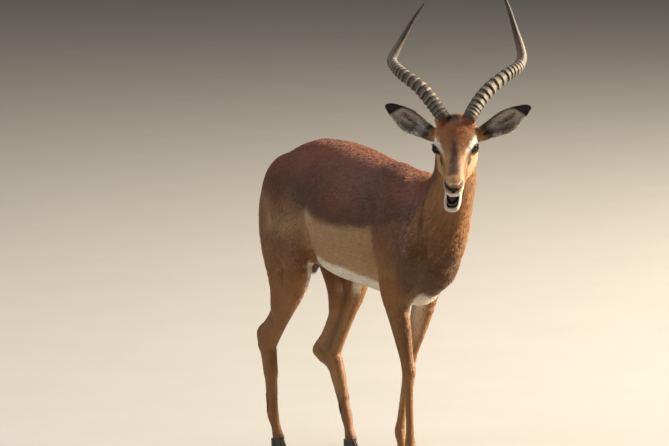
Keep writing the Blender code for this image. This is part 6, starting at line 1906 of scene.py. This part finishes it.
def horn_mesh(sg, side):
    n = 620
    m = 44
    rows = spline([[x, -f, z, r] for x, f, z, r in HORNS[sg]], n)
    p = rows[:, :3] @ HEAD[1] + HEAD[0]
    t = np.gradient(p, axis=0)
    t /= np.linalg.norm(t, axis=1)[:, None]
    a = HEAD[1][0] - (t @ HEAD[1][0])[:, None] * t
    a /= np.linalg.norm(a, axis=1)[:, None]
    b = np.cross(t, a)
    s = np.r_[0, np.cumsum(np.linalg.norm(np.diff(p, axis=0), axis=1))]
    L = s[-1]
    rng = np.random.default_rng(5 + sg)
    edges = np.array([0.006, 0.019, 0.033, 0.048, 0.066, 0.086, 0.108, 0.131, 0.156, 0.181, 0.199, 0.214, 0.227, 0.239, 0.250, 0.261])
    edges = edges * (1 + 0.0 * L) + rng.normal(0, 0.0010, len(edges))
    rings = len(edges) - 1
    amp = np.interp(edges[:-1], [0, 0.03, 0.06, 0.19, 0.215, 0.26], [0.45, 0.7, 1.0, 1.0, 0.7, 0.30]) * rng.uniform(0.85, 1.12, rings)
    th = np.linspace(0, 2 * math.pi, m, endpoint=False)
    S, T = np.meshgrid(s, th, indexing="ij")
    # the front of the horn in its own section
    fr = unit([0, -1, 0.25]) @ HEAD[1]
    front = np.arctan2(b @ fr, a @ fr)[:, None]
    turn = T - front
    Sx = S + 0.0030 * np.cos(turn) + 0.0010 * np.sin(2 * turn + 1) + 0.0006 * np.sin(5 * turn + 30 * S)
    i = np.clip(np.searchsorted(edges, Sx, side="right") - 1, 0, rings - 1)
    u = np.clip((Sx - edges[i]) / (edges[np.minimum(i + 1, rings)] - edges[i]), 0, 1)
    inside = (Sx > edges[0]) & (Sx < edges[-1])
    # each ring rises steeply on the side of the head and falls slowly towards the tip
    crest = sm(0.0, 0.20, u) * (1 - 0.98 * sm(0.22, 0.98, u) ** 0.8)
    h = np.where(inside, crest * amp[i] * (0.50 + 0.50 * np.cos(turn * 0.5) ** 2), 0.0)
    r = rows[:, 3][:, None] * (0.925 + 0.055 * sm(0.19, 0.27, S))
    high = 0.0007 + 0.155 * rows[:, 3][:, None]
    R = r + h * np.minimum(high, 0.0034)
    # rippled base and long faint flutes
    R = R * (1 + 0.010 * np.sin(7 * T + 40 * S) + 0.006 * np.sin(13 * T - 60 * S))
    co = p[:, None] + a[:, None] * (R * np.cos(T))[:, :, None] + b[:, None] * (R * np.sin(T))[:, :, None]
    foot = co[0] - t[0] * 0.012
    co = np.concatenate([foot[None], co], 0)
    V = co.reshape(-1, 3)
    k = np.arange(m)
    kn = (k + 1) % m
    quads = np.concatenate([np.stack([i_ * m + k, i_ * m + kn, (i_ + 1) * m + kn, (i_ + 1) * m + k], 1) for i_ in range(n)], 0)
    ob = mesh_object("horn_fine_" + side, np.vstack([V, [p[-1] + t[-1] * 0.0008], [foot.mean(0)]]), quads)
    bmn = bmesh.new()
    bmn.from_mesh(ob.data)
    bmn.verts.ensure_lookup_table()
    vs_ = list(bmn.verts)
    top, bot = vs_[len(V)], vs_[len(V) + 1]
    for j in range(m):
        bmn.faces.new((vs_[n * m + j], vs_[n * m + (j + 1) % m], top)).smooth = True
        bmn.faces.new((vs_[(j + 1) % m], vs_[j], bot)).smooth = True
    bmesh.ops.recalc_face_normals(bmn, faces=bmn.faces)
    bmn.to_mesh(ob.data)
    bmn.free()
    ad = lambda v: np.concatenate([v[:1], v], 0).ravel()
    hh, uu, ss, tt, am = ad(h), ad(np.where(inside, u, 0.5)), ad(S), ad(T), ad(np.where(inside, amp[i], 0))
    col = np.tile(np.array([0.086, 0.065, 0.043]), (len(V), 1))
    paint(col, (0.050, 0.040, 0.034), sm(0.08, 0.0, ss) * 0.6)
    # pale crest, partly worn and partly painted highlight; painted shade in the groove before each rise
    paint(col, (0.255, 0.218, 0.145), am * sm(0.09, 0.17, uu) * sm(0.42, 0.24, uu) * 0.85)
    paint(col, (0.012, 0.009, 0.008), np.clip(am * 1.2, 0, 1) * np.maximum(sm(0.70, 0.92, uu), sm(0.10, 0.02, uu)) * 0.9)
    paint(col, (0.185, 0.150, 0.122), sm(0.20, 0.25, ss) * sm(0.38, 0.30, ss) * 0.55)
    paint(col, (0.050, 0.047, 0.044), sm(0.30, 0.40, ss) * 0.85)
    paint(col, (0.020, 0.018, 0.016), sm(0.95, 1.0, ss / L) * 0.6)
    ss = ss / L
    colour_attr(ob, "Col", np.vstack([col, col[-1:], col[:1]]))
    lay = np.stack([np.cos(tt) * 7, np.sin(tt) * 7, ss * 14], 1)
    lay = np.vstack([lay, lay[-1:], lay[:1]])
    at_ = ob.data.attributes.new("lay", "FLOAT_VECTOR", "POINT")
    at_.data.foreach_set("vector", lay.astype(np.float32).ravel())
    give(ob, HORN_MAT)
    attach(ob, "root")
    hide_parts("horn_" + side)


horn_mesh(-1, "right")
horn_mesh(1, "left")


# ---- hooves -------------------------------------------------------------------------------------

HOOF_MAT = hoof_material()
CLAW = [(0.0010, -0.022), (0.0100, -0.0225), (0.0170, -0.015), (0.0182, 0.000), (0.0155, 0.016), (0.0095, 0.031), (0.0036, 0.0375), (0.0010, 0.034)]


def closed_curve(pts, n):
    """A smooth closed curve through the points."""
    P = np.array(pts)
    P = np.vstack([P[-2:], P, P[:3]])
    d = np.r_[0, np.cumsum(np.linalg.norm(np.diff(P, axis=0), axis=1) ** 0.5)]
    t = np.linspace(d[2], d[-3], n, endpoint=False)
    out = np.zeros((n, 2))
    for j in range(2):
        m = np.empty(len(P))
        m[1:-1] = (P[2:, j] - P[:-2, j]) / (d[2:] - d[:-2])
        m[0] = m[1]
        m[-1] = m[-2]
        i = np.clip(np.searchsorted(d, t, side="right") - 1, 0, len(d) - 2)
        h = d[i + 1] - d[i]
        u = (t - d[i]) / h
        out[:, j] = P[i, j] * (2 * u**3 - 3 * u**2 + 1) + m[i] * h * (u**3 - 2 * u**2 + u) + P[i + 1, j] * (3 * u**2 - 2 * u**3) + m[i + 1] * h * (u**3 - u**2)
    return out


def claw_mesh(at, outer, node):
    n = 56
    zz = [0.0, 0.0003, 0.0012, 0.003, 0.006] + list(np.linspace(0.008, 0.0355, 18)) + [0.0372]
    keys = np.array([(0.0, 0.935, 0.965, 0.0), (0.0012, 0.965, 0.985, 0.0), (0.005, 1.0, 1.0, 0.0), (0.020, 0.98, 0.86, -0.004), (0.0360, 0.93, 0.70, -0.0085), (0.0372, 0.90, 0.66, -0.0088)])
    curve = closed_curve(CLAW, n)
    curve[:, 0] = np.maximum(curve[:, 0], 0.0010)
    loops = []
    for z in zz:
        sx, sf, lean = (np.interp(z, keys[:, 0], keys[:, j]) for j in (1, 2, 3))
        wave = 1 + 0.006 * math.sin(z * 900) + 0.004 * math.sin(z * 2100 + 1)
        x = at[0] + outer * (0.001 + (curve[:, 0] - 0.001) * sx * (wave if z > 0.004 else 1))
        y = at[1] - (curve[:, 1] * sf * (wave if z > 0.004 else 1) + lean)
        loops.append(np.stack([x, y, np.full(n, z)], 1))
    V = np.concatenate(loops)
    k = np.arange(n)
    kn = (k + 1) % n
    quads = np.concatenate([np.stack([i * n + k, i * n + kn, (i + 1) * n + kn, (i + 1) * n + k], 1) for i in range(len(zz) - 1)])
    # sole: a shallow hollow inside its rim, and a closed top
    ob = mesh_object("claw_" + node, V, quads)
    bmn = bmesh.new()
    bmn.from_mesh(ob.data)
    bmn.verts.ensure_lookup_table()
    vs_ = list(bmn.verts)
    for base, up in ((0, 0.0012), ((len(zz) - 1) * n, 0.0)):
        ring = [vs_[base + j] for j in range(n)]
        c = loops[0].mean(0) if base == 0 else loops[-1].mean(0)
        prev = ring
        for q, dz in ((0.86, 0.0), (0.74, up), (0.3, up)):
            new = []
            for v0 in ring:
                w = (np.array(v0.co) + MIDDLE - c) * q + c
                w[2] += dz
                new.append(bmn.verts.new(w - MIDDLE))
            for j in range(n):
                bmn.faces.new((prev[j], prev[(j + 1) % n], new[(j + 1) % n], new[j])).smooth = True
            prev = new
        bmn.faces.new(prev)
    bmesh.ops.recalc_face_normals(bmn, faces=bmn.faces)
    bmn.to_mesh(ob.data)
    bmn.free()
    co = np.empty(len(ob.data.vertices) * 3)
    ob.data.vertices.foreach_get("co", co)
    co = co.reshape(-1, 3)
    value_attr(ob, "rise", co[:, 2] / 0.036)
    at_ = ob.data.attributes.new("lay", "FLOAT_VECTOR", "POINT")
    at_.data.foreach_set("vector", co.astype(np.float32).ravel())
    give(ob, HOOF_MAT)
    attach(ob, "root")
    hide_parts(node)


for legset, leg in ((FORE, "fore"), (HIND, "hind")):
    for sg, side in ((-1, "right"), (1, "left")):
        P = legset[sg][-1]
        for outer, which in ((sg, "outer"), (-sg, "inner")):
            claw_mesh((P[0], P[1] - 0.008), outer, "hoof_%s_%s_%s" % (leg, side, which))
say("horns and hooves")


# ---- tongue and teeth ---------------------------------------------------------------------------

def jaw_point(x, f, z):
    r = jaw_row((x, f, z))
    return head_point(*r)


_o = jaw_point(0, 0.186, -0.0550)
_fw = unit(jaw_point(0, 0.2, -0.0550) - _o)
_lf = unit(HEAD[1][0] - (HEAD[1][0] @ _fw) * _fw)
_up = np.cross(_fw, _lf)
if _up @ HEAD[1][2] < 0:
    _up = -_up
axes = np.array([_lf, _fw, _up])


def tongue_shape(q, D):
    q = q.copy()
    # a groove along the middle and a rounded, thinner tip
    q[:, 2] += -0.0016 * np.exp(-(q[:, 0] / 0.0028) ** 2) * (D[:, 2] > 0)
    tipk = sm(0.3, 1.0, D[:, 1])
    q[:, 2] *= 1 - 0.25 * tipk
    q[:, 0] *= 1 - 0.10 * tipk
    return q


co, tri, D = ball(_o, axes, (0.0123, 0.0275, 0.0058), 48, 40, tongue_shape)
ob = mesh_object("tongue_fine", co, tri)
give(ob, tongue_material())
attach(ob, "root")
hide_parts("tongue")

V, F_, RISE = [], [], []
for i in range(8):
    a = (i - 3.5) / 3.5
    ang = a * 1.15
    cx, cf = 0.0125 * math.sin(ang) * 1.06, 0.213 + 0.0125 * math.cos(ang)
    wide = 0.0023 - 0.0006 * abs(a)
    dx, df = math.cos(ang), -math.sin(ang)
    base = len(V)
    prof = [(-0.0610, 0.55, 0.0016), (-0.0585, 0.75, 0.0017), (-0.0555, 1.0, 0.0015), (-0.0525, 1.10, 0.0011), (-0.0506, 1.02, 0.0007), (-0.0500, 0.75, 0.0004)]
    m = 12
    for z, k, th in prof:
        for j in range(m):
            w = 2 * math.pi * j / m
            lx = wide * k * math.copysign(abs(math.cos(w)) ** 0.7, math.cos(w))
            ly = th * math.copysign(abs(math.sin(w)) ** 0.8, math.sin(w))
            V.append(jaw_point(cx + lx * dx + ly * math.sin(ang), cf + lx * df + ly * math.cos(ang) + (z + 0.061) * 0.10, z))
            RISE.append((z + 0.061) / 0.011)
    for r_ in range(len(prof) - 1):
        for j in range(m):
            k2 = (j + 1) % m
            F_.append((base + r_ * m + j, base + r_ * m + k2, base + (r_ + 1) * m + k2, base + (r_ + 1) * m + j))
    V.append(np.mean(V[base:base + m], 0))
    RISE.append(0)
    V.append(np.mean(V[base + (len(prof) - 1) * m:base + len(prof) * m], 0))
    RISE.append(1)
    for j in range(m):
        k2 = (j + 1) % m
        F_.append((len(V) - 2, base + k2, base + j, base + j))
        F_.append((len(V) - 1, base + (len(prof) - 1) * m + j, base + (len(prof) - 1) * m + k2, base + (len(prof) - 1) * m + k2))
me = bpy.data.meshes.new("teeth_fine")
me.from_pydata([tuple(np.array(v) - MIDDLE) for v in V], [], [f if f[2] != f[3] else f[:3] for f in F_])
bmn = bmesh.new()
bmn.from_mesh(me)
bmesh.ops.recalc_face_normals(bmn, faces=bmn.faces)
for f_ in bmn.faces:
    f_.smooth = True
bmn.to_mesh(me)
bmn.free()
ob = bpy.data.objects.new("teeth_fine", me)
bpy.context.scene.collection.objects.link(ob)
value_attr(ob, "rise", RISE)
give(ob, tooth_material())
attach(ob, "root")
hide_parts("teeth_lower")
say("mouth")


# ---- floor, light and camera --------------------------------------------------------------------

me = bpy.data.meshes.new("floor")
g = 14
pts = [(-18 + 36 * i / g, -18 + 36 * j / g, 0.0) for j in range(g + 1) for i in range(g + 1)]
fcs = [(j * (g + 1) + i, j * (g + 1) + i + 1, (j + 1) * (g + 1) + i + 1, (j + 1) * (g + 1) + i) for j in range(g) for i in range(g)]
me.from_pydata(pts, [], fcs)
floor = bpy.data.objects.new("floor", me)
bpy.context.scene.collection.objects.link(floor)
give(floor, floor_material())

TARGET = np.array([-0.0238, 0.1894, 0.7024])
EYE_AT = np.array([-7.430, -10.3764, 2.287])


def aim(ob, at, to):
    from mathutils import Vector
    ob.location = at
    ob.rotation_euler = (Vector(to) - Vector(at)).to_track_quat("-Z", "Y").to_euler()


def lamp(name, at, to, size, watts, colour):
    l = bpy.data.lights.new(name, "AREA")
    l.shape = "SQUARE"
    l.size = size
    l.energy = watts
    l.color = colour
    ob = bpy.data.objects.new(name, l)
    bpy.context.scene.collection.objects.link(ob)
    aim(ob, at, to)
    return ob


right = np.array([0.813, -0.582, 0.0])
ahead = np.array([0.582, 0.813, 0.0])
mid_ = np.array([0, 0, 0.75])
lamp("key", mid_ + right * 10.4 + ahead * 2.6 + [0, 0, 5.0], mid_ + [0, 0, 0.1], 2.6, 6000, (1.0, 0.86, 0.66))
lamp("fill", mid_ - right * 5.0 - ahead * 1.6 + [0, 0, 2.9], mid_, 2.6, 110, (0.97, 0.98, 1.0))
lamp("top", mid_ + ahead * 0.4 - right * 0.4 + [0, 0, 6.0], mid_, 4.0, 150, (0.97, 0.98, 1.0))

world = bpy.data.worlds.new("studio")
bpy.context.scene.world = world
world.use_nodes = True
world.node_tree.nodes["Background"].inputs[0].default_value = (0.80, 0.82, 0.84, 1)
world.node_tree.nodes["Background"].inputs[1].default_value = 0.115

cam = bpy.data.cameras.new("camera")
cam.sensor_width = 36
cam.lens = 241
cam.clip_end = 100
cam.dof.use_dof = False
camera = bpy.data.objects.new("camera", cam)
bpy.context.scene.collection.objects.link(camera)
aim(camera, EYE_AT, TARGET)
bpy.context.scene.camera = camera
bpy.context.scene.view_settings.view_transform = "Standard"

bpy.context.view_layer.update()
say("done")
